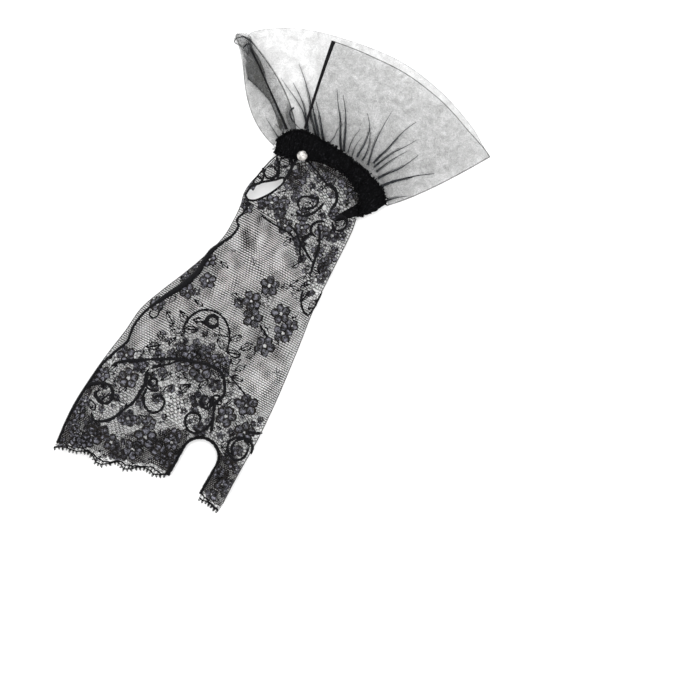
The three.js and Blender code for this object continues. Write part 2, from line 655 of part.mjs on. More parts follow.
// A half-round pearl with a flat back
function makePearl() {
  const profile = [new THREE.Vector2(0, 0), new THREE.Vector2(pearl.radius * 0.7, 0)];
  const arcSteps = 6;
  for (let i = 0; i <= arcSteps; i += 1) {
    const angle = -0.75 + (Math.PI / 2 + 0.75) * (i / arcSteps);
    const r = Math.max(pearl.radius * Math.cos(angle), 0);
    const z = pearl.height * (0.45 + 0.55 * Math.sin(angle));
    profile.push(new THREE.Vector2(i === arcSteps ? 0 : r, z));
  }
  return new THREE.LatheGeometry(profile, 14).rotateX(Math.PI / 2);
}

const lace = new THREE.MeshStandardMaterial({ color: 0x1c1b20, roughness: 0.85, metalness: 0 });
const binding = new THREE.MeshStandardMaterial({ color: 0x0b0b0e, roughness: 0.8, metalness: 0 });
const ruching = new THREE.MeshStandardMaterial({ color: 0x0d0d10, roughness: 0.9, metalness: 0 });
const tulle = new THREE.MeshStandardMaterial({ color: 0x3a3b3d, roughness: 0.7, metalness: 0 });
const nacre = new THREE.MeshStandardMaterial({ color: 0xe9e6e2, roughness: 0.25, metalness: 0 });

const glove = new THREE.Group();
function addPiece(name, geometry, material, position) {
  const mesh = new THREE.Mesh(geometry, material);
  mesh.name = name;
  if (position) mesh.position.set(...position);
  glove.add(mesh);
  return mesh;
}

const { seam, crotch: crotchCord, placket, ruffle } = cordRadius;
const stripLift = clothWall / 2 + ruffle + 2 * seat;
const sleeve = addPiece("lace_sleeve", makeSleeve(), lace);
addPiece("wrist_band", makeBand(), ruching);
addPiece("tulle_ruffle", makeRuffle(), tulle);
addPiece("side_seam", makeCord(layOnSleeve(sleeve, seamRoute, seam), seam), binding);
const placketLoop = layOnSleeve(sleeve, placketRoute, placket, true);
addPiece("placket_binding", makeCord(placketLoop, placket, true), binding);
addPiece("crotch_binding", makeCord(crotchRoute(), crotchCord), binding);
addPiece("ruffle_edge_front", makeCord(stripEdgeRoute(0.002, stripLift), ruffle), binding);
addPiece("ruffle_edge_back", makeCord(stripEdgeRoute(0.998, stripLift), ruffle), binding);
addPiece("pearl_button", makePearl(), nacre, [pearl.x, pearl.y, pearl.base]);

export default glove;
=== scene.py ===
import math
import random

import bpy
import numpy as np
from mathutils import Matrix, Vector, kdtree, noise


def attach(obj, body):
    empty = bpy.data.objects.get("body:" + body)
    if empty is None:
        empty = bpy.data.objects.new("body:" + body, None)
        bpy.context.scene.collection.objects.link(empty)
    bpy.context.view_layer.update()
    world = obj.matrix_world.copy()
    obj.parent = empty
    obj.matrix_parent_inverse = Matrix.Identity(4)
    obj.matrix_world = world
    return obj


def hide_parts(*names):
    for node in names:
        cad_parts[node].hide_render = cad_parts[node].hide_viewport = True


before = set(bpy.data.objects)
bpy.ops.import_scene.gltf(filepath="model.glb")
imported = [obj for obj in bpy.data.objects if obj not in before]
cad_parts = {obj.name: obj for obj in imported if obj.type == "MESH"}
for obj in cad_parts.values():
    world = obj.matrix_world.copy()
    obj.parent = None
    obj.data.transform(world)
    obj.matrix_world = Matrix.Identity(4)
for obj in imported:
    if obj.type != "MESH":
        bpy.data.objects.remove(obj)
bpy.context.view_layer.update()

mm = 0.001
print("frame loaded:", len(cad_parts), "CAD nodes")

# Lengths in the tables are millimetres in the CAD frame. Columns u and v are places in the photograph, which
# glovePoint turns to the same frame.
photoFrame = {"u": 260.6085, "v": 273.3473, "mmPerPixel": 0.6, "turn": 30}


def glovePoint(u, v):
    turn = math.radians(photoFrame["turn"])
    du, dv = np.asarray(u, float) - photoFrame["u"], np.asarray(v, float) - photoFrame["v"]
    size = photoFrame["mmPerPixel"]
    x = size * (du * math.cos(turn) + dv * math.sin(turn))
    y = size * (du * math.sin(turn) - dv * math.cos(turn))
    return x, y


def readTable(points, key):  # smooth curve through a table's points
    table = np.array(sorted(points), float)
    at, value = table[:, 0], table[:, 1]
    key = np.asarray(key, float)
    i = np.clip(np.searchsorted(at, key, side="right") - 1, 0, len(at) - 2)
    low = np.maximum(np.arange(len(at)) - 1, 0)
    high = np.minimum(np.arange(len(at)) + 1, len(at) - 1)
    slope = (value[high] - value[low]) / (at[high] - at[low])
    span = at[i + 1] - at[i]
    t = (key - at[i]) / span
    u = np.clip(t, 0, 1)
    inside = value[i] * (1 - u * u * (3 - 2 * u)) + value[i + 1] * u * u * (3 - 2 * u)
    inside = inside + span * u * (1 - u) * ((1 - u) * slope[i] - u * slope[i + 1])
    return inside + span * (np.minimum(t, 0) * slope[i] + np.maximum(t - 1, 0) * slope[i + 1])


def smoothStep(t):
    t = np.clip(t, 0, 1)
    return t * t * (3 - 2 * t)


def domeRise(q):
    return np.sqrt(np.maximum(0, 1 - (1 - np.clip(q, 0, 1)) ** 2))


def insidePolygon(polygon, x, y):
    x, y = np.asarray(x, float), np.asarray(y, float)
    inside = np.zeros(np.broadcast(x, y).shape, bool)
    for (ax, ay), (bx, by) in zip(polygon, polygon[1:] + polygon[:1]):
        crosses = (ay > y) != (by > y)
        edgeX = (bx - ax) * (y - ay) / ((by - ay) or 1e-9) + ax
        inside ^= crosses & (x < edgeX)
    return inside


def photoPolygon(us, vs):
    x, y = glovePoint(us, vs)
    return list(zip(x.tolist(), y.tolist()))


# The sleeve's form, as in the CAD
sleeve = {
    "left": [(67, -26.5), (58, -28.6), (46, -32.2), (37, -32.9), (30, -31.2), (22, -30.3), (8, -30.4),
             (-8, -34.6), (-23, -40.0), (-38, -46.2), (-54, -51.8), (-70, -53.2), (-86, -55.4),
             (-104, -57.2), (-126, -58.0), (-152, -55.4)],
    "right": [(60, 33.0), (48, 35.2), (24, 36.7), (-2, 38.5), (-28, 42.3), (-60, 46.4), (-86, 48.5),
              (-112, 48.9), (-136, 50.0)],
    "crown": [(70, 9.5), (40, 10.5), (0, 11.5), (-60, 12.5), (-110, 12.5), (-152, 11.5)],
    "foldTop": 3.6, "foldLift": 1.0, "foldCurl": 4.0, "reach": 26, "thumbReach": 7.2, "thumbCrown": 9.0,
    "crotchX": 23.4, "crotchY": -113.2, "crotchRadius": 11.5,
    "sink": 0.3,  # the threads run this far inside the CAD's outer skin
    "edgeGap": 0.4, "cuffEnds": (-27, 33), "cuffLap": 0.8, "sideLap": 0.6,  # where the cloth stops
}
cuffSeam = [(-26.5, 67.0), (-20, 68.4), (-12, 71.8), (-4, 75.2), (6, 76.8), (15, 76.0), (23, 73.0),
            (29, 68.0), (33, 60.0)]
fingerEdge = [(-60, -154.6), (-55.3, -152.2), (-48, -147.4), (-41, -144.6), (-34, -143.8), (-28, -144.8),
              (-22, -143.4), (-17, -139.8), (-12, -139.6), (-6, -137.0), (1.5, -133.4), (8, -133.9),
              (16, -132.4)]
thumbEdge = [(32, -131.0), (38, -133.0), (44, -134.6), (52, -137.0)]
placketSlit = photoPolygon([246, 252, 262, 274, 283, 283, 276, 266, 256, 249],
                           [195, 187, 183.5, 181, 178.5, 183, 189.5, 195.5, 200, 199.5])
eyelet = {"x": -14.4, "y": 64.6, "radius": 1.3}
# soft dents and folds: x, y, direction, half length, half width, height
sleeveFolds = [(-8, 20, 105, 26, 7, -1.4), (8, 4, 95, 24, 6, 0.9), (20, -18, 120, 22, 8, -1.2),
               (-24, -48, 60, 28, 8, 0.8), (22, -66, 80, 26, 9, -1.0)]


def sideDistance(x, y):
    across = np.abs(x - sleeve["crotchX"])
    up = y - sleeve["crotchY"]
    notch = np.where(up > 0, np.hypot(across, up), across) - sleeve["crotchRadius"]
    left = x - readTable(sleeve["left"], y)
    right = readTable(sleeve["right"], y) - x
    return np.minimum(np.minimum(left, right), notch)


def topAt(x, y, distance=None):
    x, y = np.asarray(x, float), np.asarray(y, float)
    distance = np.maximum(sideDistance(x, y), 0) if distance is None else distance
    share = smoothStep((-88 - y) / 25) * smoothStep((x - 15) / 15)
    crown = readTable(sleeve["crown"], y) * (1 - share) + sleeve["thumbCrown"] * share
    reach = sleeve["reach"] * (1 - share) + sleeve["thumbReach"] * share
    rise = domeRise(distance / reach)
    z = sleeve["foldTop"] + (crown - sleeve["foldTop"]) * rise
    for fx, fy, turn, along, wide, height in sleeveFolds:
        a = math.radians(turn)
        dx, dy = x - fx, y - fy
        p = (dx * math.cos(a) + dy * math.sin(a)) / along
        q = (dy * math.cos(a) - dx * math.sin(a)) / wide
        z = z + height * rise * np.exp(-p * p - q * q)
    return z


def undersideAt(x, y):
    distance = np.maximum(sideDistance(np.asarray(x, float), np.asarray(y, float)), 0)
    return sleeve["foldLift"] * (1 - domeRise(distance / sleeve["foldCurl"]))


def handEdge(x):
    return np.where(x < sleeve["crotchX"], readTable(fingerEdge, x), readTable(thumbEdge, x))


def inCloth(x, y, margin=0.0):
    x, y = np.asarray(x, float), np.asarray(y, float)
    edge = y > handEdge(x) + sleeve["edgeGap"] + margin
    cuff = y < readTable(cuffSeam, np.clip(x, *sleeve["cuffEnds"])) + sleeve["cuffLap"] - margin
    slit = insidePolygon(placketSlit, x, y)
    hole = np.hypot(x - eyelet["x"], y - eyelet["y"]) < eyelet["radius"]
    return edge & cuff & ~slit & ~hole & (sideDistance(x, y) > margin - sleeve["sideLap"])


eyeShare = 0.165  # open eye of a flower, as a share of its reach


def chart(*rows, names=("u", "v", "reach", "turn")):
    return [dict(zip(names, row)) for row in rows]


flowerChart = chart(
    (270, 286, 10.5, 10), (252, 301, 10.5, 40), (240, 303, 6, 0), (253, 318, 10.5, 70), (281, 314, 10.5, 25),
    (283, 333, 10.5, 5), (292, 326, 7, 50), (265, 346, 11, 55), (208, 281, 9, 20), (188, 291, 8.5, 60),
    (158, 304, 8, 15), (197, 292, 4.5, 35), (127, 355, 10, 30), (104, 374, 8, 50), (129, 378, 11, 10),
    (201, 371, 12, 45), (247, 405, 12, 20), (226.5, 416, 11, 60), (245, 432, 11, 5), (93, 436, 11, 30),
    (133.5, 449, 11, 50), (146, 437, 12, 12), (285, 226, 9, 33), (303, 215, 8, 8), (272, 203, 8.5, 40),
    (284, 203, 7, 15), (334, 214, 7, 52), (210, 260, 8, 25), (238, 450, 6.5, 11), (186, 276, 6, 5),
    (197, 267, 6, 42), (245, 204, 6, 65), (216, 470, 8, 20), (222, 484, 8, 50), (212, 494, 7, 10),
    (232, 462, 7, 35), (112, 442, 9, 0), (160, 452, 9, 33), (172, 442, 9, 15), (75, 432, 7, 20), (168, 460, 8, 48),
    (64, 446, 6, 5), (76, 446, 7, 40), (302, 228, 8, 15), (322, 232, 8, 44), (318, 252, 7, 20), (323, 264, 7, 5),
    (330, 258, 7, 52), (296, 198, 6, 21), (190, 352, 9, 60), (183, 364, 9, 12), (205, 352, 8, 31),
    (252, 186, 5, 10), (141, 400, 6, 25), (289, 186, 6, 20), (298, 190, 5, 60), (350, 194, 6.5, 20),
    (342, 184, 5, 0), (341, 236, 6, 10), (334, 251, 5, 40), (326, 273, 5, 20), (327, 176, 5, 15), (88, 441, 8, 25),
    (104, 433, 7, 50), (172, 459, 8, 20), (150, 423, 8, 20), (138, 420, 6, 0), (176, 434, 7, 40), (92, 379, 6, 10),
    (80, 412, 8, 30), (74, 425, 7, 0), (86, 401, 6, 10), (312, 167, 4.5, 10), (319, 179, 5, 40), (307, 175, 4, 0),
    (332, 182, 4.5, 25), (248, 208, 6.5, 20), (262, 203, 5, 30), (297, 174, 5, 10), (303, 181, 4.5, 40),
    (321, 279, 6, 10), (237, 470, 5, 10), (231, 483, 5, 40), (226, 494, 5, 10), (160, 357, 7, 30), (163, 372, 6, 5),
    (158, 398, 6, 50), (122, 418, 5, 20), (215, 361, 8, 20), (197, 363, 7, 40), (173, 354, 6, 10),
    (224, 373, 6, 50), (180, 346, 5.5, 25), (197, 343, 4.5, 0), (227, 361, 5.5, 10), (212, 347, 4.5, 30))
mirrorFlowers = chart(
    (128, 418, 10, 0), (198, 400, 10, 20), (100, 432, 10, 40), (200, 440, 9, 15), (120, 455, 9, 30),
    (90, 425, 8, 5), (300, 240, 9, 20), (292, 176, 7, 50), (280, 212, 8, 5), (324, 268, 6, 33), (222, 475, 8, 15),
    (140, 365, 9, 10), (215, 385, 8, 44), (155, 445, 9, 21), (75, 442, 7, 12), (228, 458, 8, 40), (332, 236, 8, 5),
    (262, 205, 6, 0))


def chartPlaces(rows, front=True):
    places = []
    for row in rows:
        x, y = glovePoint(row["u"], row["v"])
        size = row["reach"] * photoFrame["mmPerPixel"]
        places.append((float(x), float(y), size, row["turn"] + photoFrame["turn"], front))
    return places


# Where the lace is worked: coarse net in the hand and at the wrist, close clothwork along the hand's edges
handNet = photoPolygon(
    [100, 125, 140, 152, 169, 178, 190, 202, 213, 222, 230, 232, 236, 240, 252, 262, 266, 262, 240, 210, 120,
     40, 58, 70, 82, 93, 99],
    [351, 349, 351, 343, 333, 325, 329, 334, 333, 340, 352, 366, 380, 395, 405, 420, 436, 450, 500, 530, 530,
     520, 470, 440, 410, 378, 360])
wristNet = photoPolygon(
    [262, 256, 263, 276, 290, 297, 302, 304, 310, 318, 345, 380, 400, 360, 330, 305, 288, 292, 281],
    [197, 206, 212, 221, 234, 251, 266, 282, 300, 308, 300, 240, 210, 170, 150, 140, 150, 168, 188])
fingerCloth = photoPolygon(
    [98, 107, 96, 88, 88, 93, 103, 118, 128, 142, 156, 168, 178, 187, 185, 180, 120, 40, 58, 78],
    [366, 372, 386, 398, 414, 425, 431, 443, 433, 430, 434, 429, 432, 428, 455, 500, 520, 500, 440, 400])
thumbCloth = photoPolygon([217, 226, 236, 247, 262, 240, 205, 195, 212],
                          [447, 462, 468, 462, 438, 500, 530, 495, 470])
# Small patches where the coarse net opens between motifs, and the oval windows beside the placket
openPatches = chartPlaces(chart((269, 301, 6, 0), (265, 331, 6, 0), (200, 339, 7, 0), (219, 348, 5, 0),
                                (316, 284, 6, 0), (304, 182, 4, 0)))
windows = chartPlaces(chart((270.5, 172.5, 5.8, 0), (285, 162.5, 4.8, 0), (258, 180.5, 3.8, 0)))
# Clean net, left free of scattered motifs
clearNet = openPatches[:4] + chartPlaces(chart(
    (120, 368, 7, 0), (139, 370, 6, 0), (157, 372, 5, 0), (129, 393, 11, 0), (114, 413, 8, 0), (117, 430, 9, 0),
    (153, 400, 8, 0), (175, 416, 10, 0), (198, 424, 6, 0), (324, 196, 6, 0), (345, 197, 5, 0), (301, 203, 5, 0),
    (327, 200, 6, 0), (297, 226, 7, 0), (314, 243, 5, 0), (317, 285, 5.5, 0), (225, 396, 5, 0), (230, 425, 5, 0),
    (250, 193, 8, 0), (258, 189, 8, 0), (267, 186, 8, 0), (276, 182, 8, 0)))
eyes = chartPlaces(flowerChart)
placketNet = photoPolygon([251, 262, 268, 282, 298, 296, 303, 298, 291, 279, 283, 284, 268],
                          [188, 176, 165, 153, 158, 172, 188, 203, 209, 203, 190, 180, 185])
bandCloth = photoPolygon([312, 326, 340, 352, 360, 357, 352, 344, 332, 320, 310],
                         [156, 161, 170, 182, 197, 204, 195, 182, 174, 168, 164])
garlandCloth = photoPolygon([180, 192, 206, 220, 230, 229, 214, 198, 184, 174],
                            [350, 346, 347, 353, 363, 374, 372, 369, 364, 356])
pearlCloth = photoPolygon([286, 299, 306, 305, 297, 288], [165, 164, 172, 184, 190, 182])
seamCloth = photoPolygon([180, 190, 200, 209, 206, 194, 184], [279, 267, 255, 253, 263, 277, 287])


def near(x, y, places, share=1.0):
    found = np.zeros(np.broadcast(x, y).shape, bool)
    for px, py, size, *_ in places:
        found |= np.hypot(x - px, y - py) < share * size
    return found


hemStrip = 2.9  # along the hand's edge the clothwork stops short, and open net carries the picot cord


def zoneAt(x, y):  # 0 fine net, 1 coarse net, 2 clothwork
    zone = np.where(insidePolygon(handNet, x, y) | insidePolygon(wristNet, x, y) | near(x, y, openPatches), 1, 0)
    zone = np.where(insidePolygon(placketNet, x, y), 1, zone)
    for patch in (seamCloth, bandCloth, pearlCloth, garlandCloth):
        zone = np.where(insidePolygon(patch, x, y), 2, zone)
    zone = np.where(near(x, y, windows), 0, zone)
    for patch in (fingerCloth, thumbCloth):
        zone = np.where(insidePolygon(patch, x, y), 2, zone)
    return np.where(y < handEdge(x) + hemStrip, 1, zone)


def inZone(x, y, zone, lap=0.6):  # neighbouring nets lap a little, so that no gap opens between them
    found = zoneAt(x, y) == zone
    for dx, dy in ((lap, 0), (-lap, 0), (0, lap), (0, -lap)):
        found |= zoneAt(x + dx, y + dy) == zone
    return found


def linear(hexColour):
    channels = [int(hexColour[i:i + 2], 16) / 255 for i in (1, 3, 5)]
    return tuple(c / 12.92 if c <= 0.04045 else ((c + 0.055) / 1.055) ** 2.4 for c in channels) + (1.0,)


def addNode(tree, kind, inputs=None, **settings):
    node = tree.nodes.new(kind)
    for key, value in settings.items():
        setattr(node, key, value)
    for key, value in (inputs or {}).items():
        if isinstance(value, bpy.types.NodeSocket):
            tree.links.new(value, node.inputs[key])
        else:
            node.inputs[key].default_value = value
    return node


def newMaterial(name):
    material = bpy.data.materials.new(name)
    material.use_nodes = True
    tree = material.node_tree
    tree.nodes.clear()
    return material, tree, addNode(tree, "ShaderNodeTexCoord").outputs["Object"]


def finishMaterial(tree, sockets):  # the shader with its colours and maps, led to the output
    shader = addNode(tree, "ShaderNodeBsdfPrincipled", sockets)
    addNode(tree, "ShaderNodeOutputMaterial", {"Surface": shader.outputs["BSDF"]})


def twoTone(tree, factor, low, high, lowAt=0.35, highAt=0.65):
    ramp = addNode(tree, "ShaderNodeValToRGB", {"Fac": factor})
    for element, colour, position in zip(ramp.color_ramp.elements, (low, high), (lowAt, highAt)):
        element.position, element.color = position, linear(colour)
    return ramp.outputs["Color"]


def bandScale(pitch):  # Wave texture scale that repeats every pitch millimetres
    return 0.314159 / (pitch * mm)


threadLook = {"dark": "#0a0909", "light": "#1d1917", "roughness": 0.66, "twist": 0.45, "patch": 9.0, "shine": 0.15}
clothLook = {"dark": "#050507", "light": "#767680", "darkAt": 0.43, "lightAt": 0.68, "roughness": 0.7, "stitch": 0.9,
             "mottle": 1.9, "cover": 0.8, "open": 0.5, "shine": 0.2}
# the ruching's light tone gives painted highlight specks on the black mesh
ruchingLook = {"dark": "#020203", "light": "#39393d", "darkAt": 0.56, "lightAt": 0.74, "roughness": 0.85, "pile": 0.5,
               "shine": 0.08}
cordLook = {"dark": "#030304", "light": "#0c0c10", "darkAt": 0.2, "lightAt": 0.9, "roughness": 0.66, "twist": 0.8,
            "shine": 0.12}
tulleLook = {"cool": "#2a2d31", "warm": "#343430", "shade": "#0f1012", "roughness": 0.75, "shine": 0.2,
             "marble": 9.0, "mesh": 0.6, "vein": 12.0, "veinWide": 0.045}
# the pearl's dark body tone and its pale tone are partly real lustre and partly painted shade and painted highlight
pearlLook = {"body": "#6a6866", "lustreAndPaintedHighlight": "#d9d5d0", "roughness": 0.2, "swirl": 3.0, "coat": 0.8, "coatRoughness": 0.08}


# Dyed nylon net thread, knitted: dull black filaments with a soft sheen and a fine twist
netThread, tree, place = newMaterial("dyedNylonThread")
cloudy = addNode(tree, "ShaderNodeTexNoise", {"Vector": place, "Scale": 1 / (threadLook["patch"] * mm), "Detail": 3.0})
twist = addNode(tree, "ShaderNodeTexWave", {"Vector": place, "Scale": bandScale(threadLook["twist"]),
                                            "Distortion": 2.0}, bands_direction="DIAGONAL")
bump = addNode(tree, "ShaderNodeBump", {"Height": twist.outputs["Fac"], "Strength": 0.4, "Distance": 0.1 * mm})
finishMaterial(tree, {"Base Color": twoTone(tree, cloudy.outputs["Fac"], threadLook["dark"], threadLook["light"]),
                      "Normal": bump.outputs["Normal"], "Roughness": threadLook["roughness"],
                      "Specular IOR Level": threadLook["shine"]})


# Cloth stitch of dull rayon thread: woven over the net, so light still comes through between the threads
def makeClothStitch(name, cover):
    material, tree, place = newMaterial(name)
    across, along = (addNode(tree, "ShaderNodeTexWave", {"Vector": place, "Scale": bandScale(pitch), "Distortion": 2.5,
                                                         "Detail Scale": 0.5}, bands_direction=way)
                     for pitch, way in ((clothLook["stitch"], "X"), (clothLook["stitch"] * 1.3, "Y")))
    weave = addNode(tree, "ShaderNodeMath", {0: across.outputs["Fac"], 1: along.outputs["Fac"]}, operation="MAXIMUM")
    cloudy = addNode(tree, "ShaderNodeTexNoise", {"Vector": place, "Scale": 1 / (clothLook["mottle"] * mm),
                                                  "Detail": 3.0})
    patchy = addNode(tree, "ShaderNodeMath", {0: weave.outputs[0], 1: cloudy.outputs["Fac"]}, operation="ADD")
    holes = addNode(tree, "ShaderNodeMapRange", {"Value": patchy.outputs[0], "From Min": 0.95, "From Max": 1.5,
                                                 "To Min": max(0.0, 2 * cover - 1.12), "To Max": min(1.0, cover + 0.3)})
    bump = addNode(tree, "ShaderNodeBump", {"Height": weave.outputs[0], "Strength": 0.6, "Distance": 0.12 * mm})
    colour = twoTone(tree, cloudy.outputs["Fac"], clothLook["dark"], clothLook["light"], clothLook["darkAt"],
                     clothLook["lightAt"])
    finishMaterial(tree, {"Base Color": colour, "Alpha": holes.outputs["Result"], "Normal": bump.outputs["Normal"],
                          "Roughness": clothLook["roughness"], "Specular IOR Level": clothLook["shine"]})
    return material


clothStitch = makeClothStitch("rayonClothStitch", clothLook["cover"])
openStitch = makeClothStitch("rayonOpenStitch", clothLook["open"])

# Gathered nylon mesh over elastic: very black, napped, swallowing light in its folds. The light specks that the nap
# noise mixes into its colour are painted highlights, for light caught on the ruching
ruchedMesh, tree, place = newMaterial("ruchedNylonMesh")
napAndPaintedSpecks = addNode(tree, "ShaderNodeTexNoise", {"Vector": place, "Scale": 1 / (ruchingLook["pile"] * 2 * mm),
                                           "Detail": 6.0, "Roughness": 0.7})
bump = addNode(tree, "ShaderNodeBump", {"Height": napAndPaintedSpecks.outputs["Fac"], "Strength": 0.9, "Distance": 0.5 * mm})
# painted highlight: light specks where the nap noise runs high
finishMaterial(tree, {"Base Color": twoTone(tree, napAndPaintedSpecks.outputs["Fac"], ruchingLook["dark"], ruchingLook["light"],
                                            ruchingLook["darkAt"], ruchingLook["lightAt"]),
                      "Normal": bump.outputs["Normal"], "Roughness": ruchingLook["roughness"],
                      "Specular IOR Level": ruchingLook["shine"]})

# Twisted rayon cord and bias binding that outline and finish the edges: denser and blacker than the net
bindingCord, tree, place = newMaterial("rayonOutliningCord")
twist = addNode(tree, "ShaderNodeTexWave", {"Vector": place, "Scale": bandScale(cordLook["twist"]), "Distortion": 3.0,
                                            "Detail": 2.0}, bands_direction="DIAGONAL")
bump = addNode(tree, "ShaderNodeBump", {"Height": twist.outputs["Fac"], "Strength": 0.7, "Distance": 0.2 * mm})
finishMaterial(tree, {"Base Color": twoTone(tree, twist.outputs["Fac"], cordLook["dark"], cordLook["light"],
                                            cordLook["darkAt"], cordLook["lightAt"]),
                      "Normal": bump.outputs["Normal"], "Roughness": cordLook["roughness"],
                      "Specular IOR Level": cordLook["shine"]})


# Silk tulle: a hexagonal net far too fine to see, so it reads as grey smoke with a marbled moire where layers meet
def makeTulle(name, alpha, contrast, cool=tulleLook["cool"], warm=tulleLook["warm"]):
    material, tree, place = newMaterial(name)
    marble = addNode(tree, "ShaderNodeTexNoise", {"Vector": place, "Scale": 1 / (tulleLook["marble"] * mm),
                                                  "Detail": 5.0, "Roughness": 0.6, "Distortion": 2.0})
    grain = addNode(tree, "ShaderNodeTexNoise", {"Vector": place, "Scale": 1 / (tulleLook["mesh"] * mm), "Detail": 2.0})
    swirl = addNode(tree, "ShaderNodeTexNoise", {"Vector": place, "Scale": 1 / (tulleLook["vein"] * mm),
                                                 "Detail": 4.0, "Roughness": 0.6, "Distortion": 3.0})
    middle = addNode(tree, "ShaderNodeMath", {0: swirl.outputs["Fac"], 1: 0.5}, operation="SUBTRACT")
    ridge = addNode(tree, "ShaderNodeMath", {0: middle.outputs[0]}, operation="ABSOLUTE")
    vein = addNode(tree, "ShaderNodeMapRange", {"Value": ridge.outputs[0], "From Min": 0.0,
                                                "From Max": tulleLook["veinWide"], "To Min": -0.55 * alpha * contrast,
                                                "To Max": 0.1 * alpha * contrast})
    both = addNode(tree, "ShaderNodeMath", {0: marble.outputs["Fac"], 1: grain.outputs["Fac"]}, operation="ADD")
    cover = addNode(tree, "ShaderNodeMapRange", {"Value": both.outputs[0], "From Min": 0.7, "From Max": 1.3,
                                                 "To Min": alpha * (1 - contrast), "To Max": alpha * (1 + contrast)})
    crowding = addNode(tree, "ShaderNodeAttribute", attribute_name="crowding")
    veined = addNode(tree, "ShaderNodeMath", {0: cover.outputs["Result"], 1: vein.outputs["Result"]}, operation="ADD")
    total = addNode(tree, "ShaderNodeMath", {0: veined.outputs[0], 1: crowding.outputs["Fac"]}, operation="ADD",
                    use_clamp=True)
    finishMaterial(tree, {"Base Color": twoTone(tree, marble.outputs["Fac"], cool, warm), "Alpha": total.outputs[0],
                          "Roughness": tulleLook["roughness"], "Specular IOR Level": tulleLook["shine"]})
    return material


silkTulle = makeTulle("silkTulle", 0.24, 0.6)
foldedTulle = makeTulle("foldedSilkTulle", 0.5, 0.3)
gatheredTulle = makeTulle("gatheredSilkTulle", 0.94, 0.1, tulleLook["shade"], tulleLook["cool"])
crumpledTulle = makeTulle("crumpledSilkTulle", 0.3, 0.9)

# Imitation pearl: pale opalescent lacquer over a bead, glossy. Its colour swirls at random from a dark grey to near
# white, partly the bead's own lustre and partly painted shade and painted highlight
pearlLacquer, tree, place = newMaterial("pearlLacquer")
swirl = addNode(tree, "ShaderNodeTexNoise", {"Vector": place, "Scale": 1 / (pearlLook["swirl"] * mm), "Detail": 2.0,
                                             "Distortion": 1.0})
finishMaterial(tree, {"Base Color": twoTone(tree, swirl.outputs["Fac"], pearlLook["body"], pearlLook["lustreAndPaintedHighlight"]),
                      "Roughness": pearlLook["roughness"], "Coat Weight": pearlLook["coat"],
                      "Coat Roughness": pearlLook["coatRoughness"]})
print("materials made")


def deselect():
    if bpy.context.object and bpy.context.object.mode != "OBJECT":
        bpy.ops.object.mode_set(mode="OBJECT")
    bpy.ops.object.select_all(action="DESELECT")


def settle(piece, slot, *nodes):  # rides on the one body; the CAD nodes it stands for are hidden
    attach(piece, "root")
    if nodes:
        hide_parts(*nodes)
    return piece


def meshPiece(name, points, faces, material, smooth=True):  # points in millimetres
    mesh = bpy.data.meshes.new(name)
    mesh.from_pydata((np.asarray(points) * mm).tolist(), [], faces)
    mesh.validate()
    mesh.shade_smooth() if smooth else mesh.shade_flat()
    piece = bpy.data.objects.new(name, mesh)
    bpy.context.collection.objects.link(piece)
    mesh.materials.append(material)
    return piece


def smoothRoute(points, step):  # an even, smooth run through given points
    points = np.asarray(points, float)
    length = np.concatenate([[0], np.cumsum(np.hypot(*np.diff(points[:, :2], axis=0).T))])
    at = np.linspace(0, length[-1], max(2, int(math.ceil(length[-1] / step)) + 1))
    return np.stack([readTable(list(zip(length, points[:, k])), at) for k in range(points.shape[1])], 1)


def cordPiece(name, routes, material, sides=1):  # routes: points in millimetres with one radius each
    deselect()
    curve = bpy.data.curves.new(name, "CURVE")
    curve.dimensions = "3D"
    curve.bevel_depth = mm
    curve.bevel_resolution = sides
    curve.use_fill_caps = True
    for points, radii in routes:
        spline = curve.splines.new("POLY")
        spline.points.add(len(points) - 1)
        spline.points.foreach_set("co", np.c_[np.asarray(points) * mm, np.ones(len(points))].ravel())
        spline.points.foreach_set("radius", np.broadcast_to(radii, len(points)).astype(float))
    piece = bpy.data.objects.new(name, curve)
    bpy.context.collection.objects.link(piece)
    piece.select_set(True)
    bpy.context.view_layer.objects.active = piece
    bpy.ops.object.convert(target="MESH")
    piece = bpy.context.object
    piece.data.materials.clear()
    piece.data.materials.append(material)
    piece.data.shade_smooth()
    piece.select_set(False)
    return piece


def onSleeve(plan, lift, front=True):  # lays plan points on the glove's back or palm
    x, y = plan[:, 0], plan[:, 1]
    if front:
        return np.c_[x, y, topAt(x, y) - sleeve["sink"] + lift]
    return np.c_[x, y, np.maximum(undersideAt(x, y) + sleeve["sink"] - lift, 0.1)]


def chartRoute(us, vs, step=0.9):  # a smooth run through places in the photograph
    return smoothRoute(np.c_[glovePoint(us, vs)], step)


def waver(x, y, z):
    return noise.noise(Vector((x, y, z)))


def waverAlong(route, scale, seed):  # a slow swell along a thread, because handwork is never even
    return np.array([waver(scale * x, scale * y, seed) for x, y in route])


# Camera, light and floor
view = {"x": 69.4, "y": -13.0, "height": 3000, "wide": 420, "turn": 30, "sensor": 36, "far": 20}
deselect()
bpy.ops.object.camera_add(location=(view["x"] * mm, view["y"] * mm, view["height"] * mm),
                          rotation=(0, 0, math.radians(view["turn"])))
camera = bpy.context.object
camera.data.sensor_width = view["sensor"]
camera.data.lens = view["sensor"] * view["height"] / view["wide"]
camera.data.clip_end = view["far"]
bpy.context.scene.camera = camera

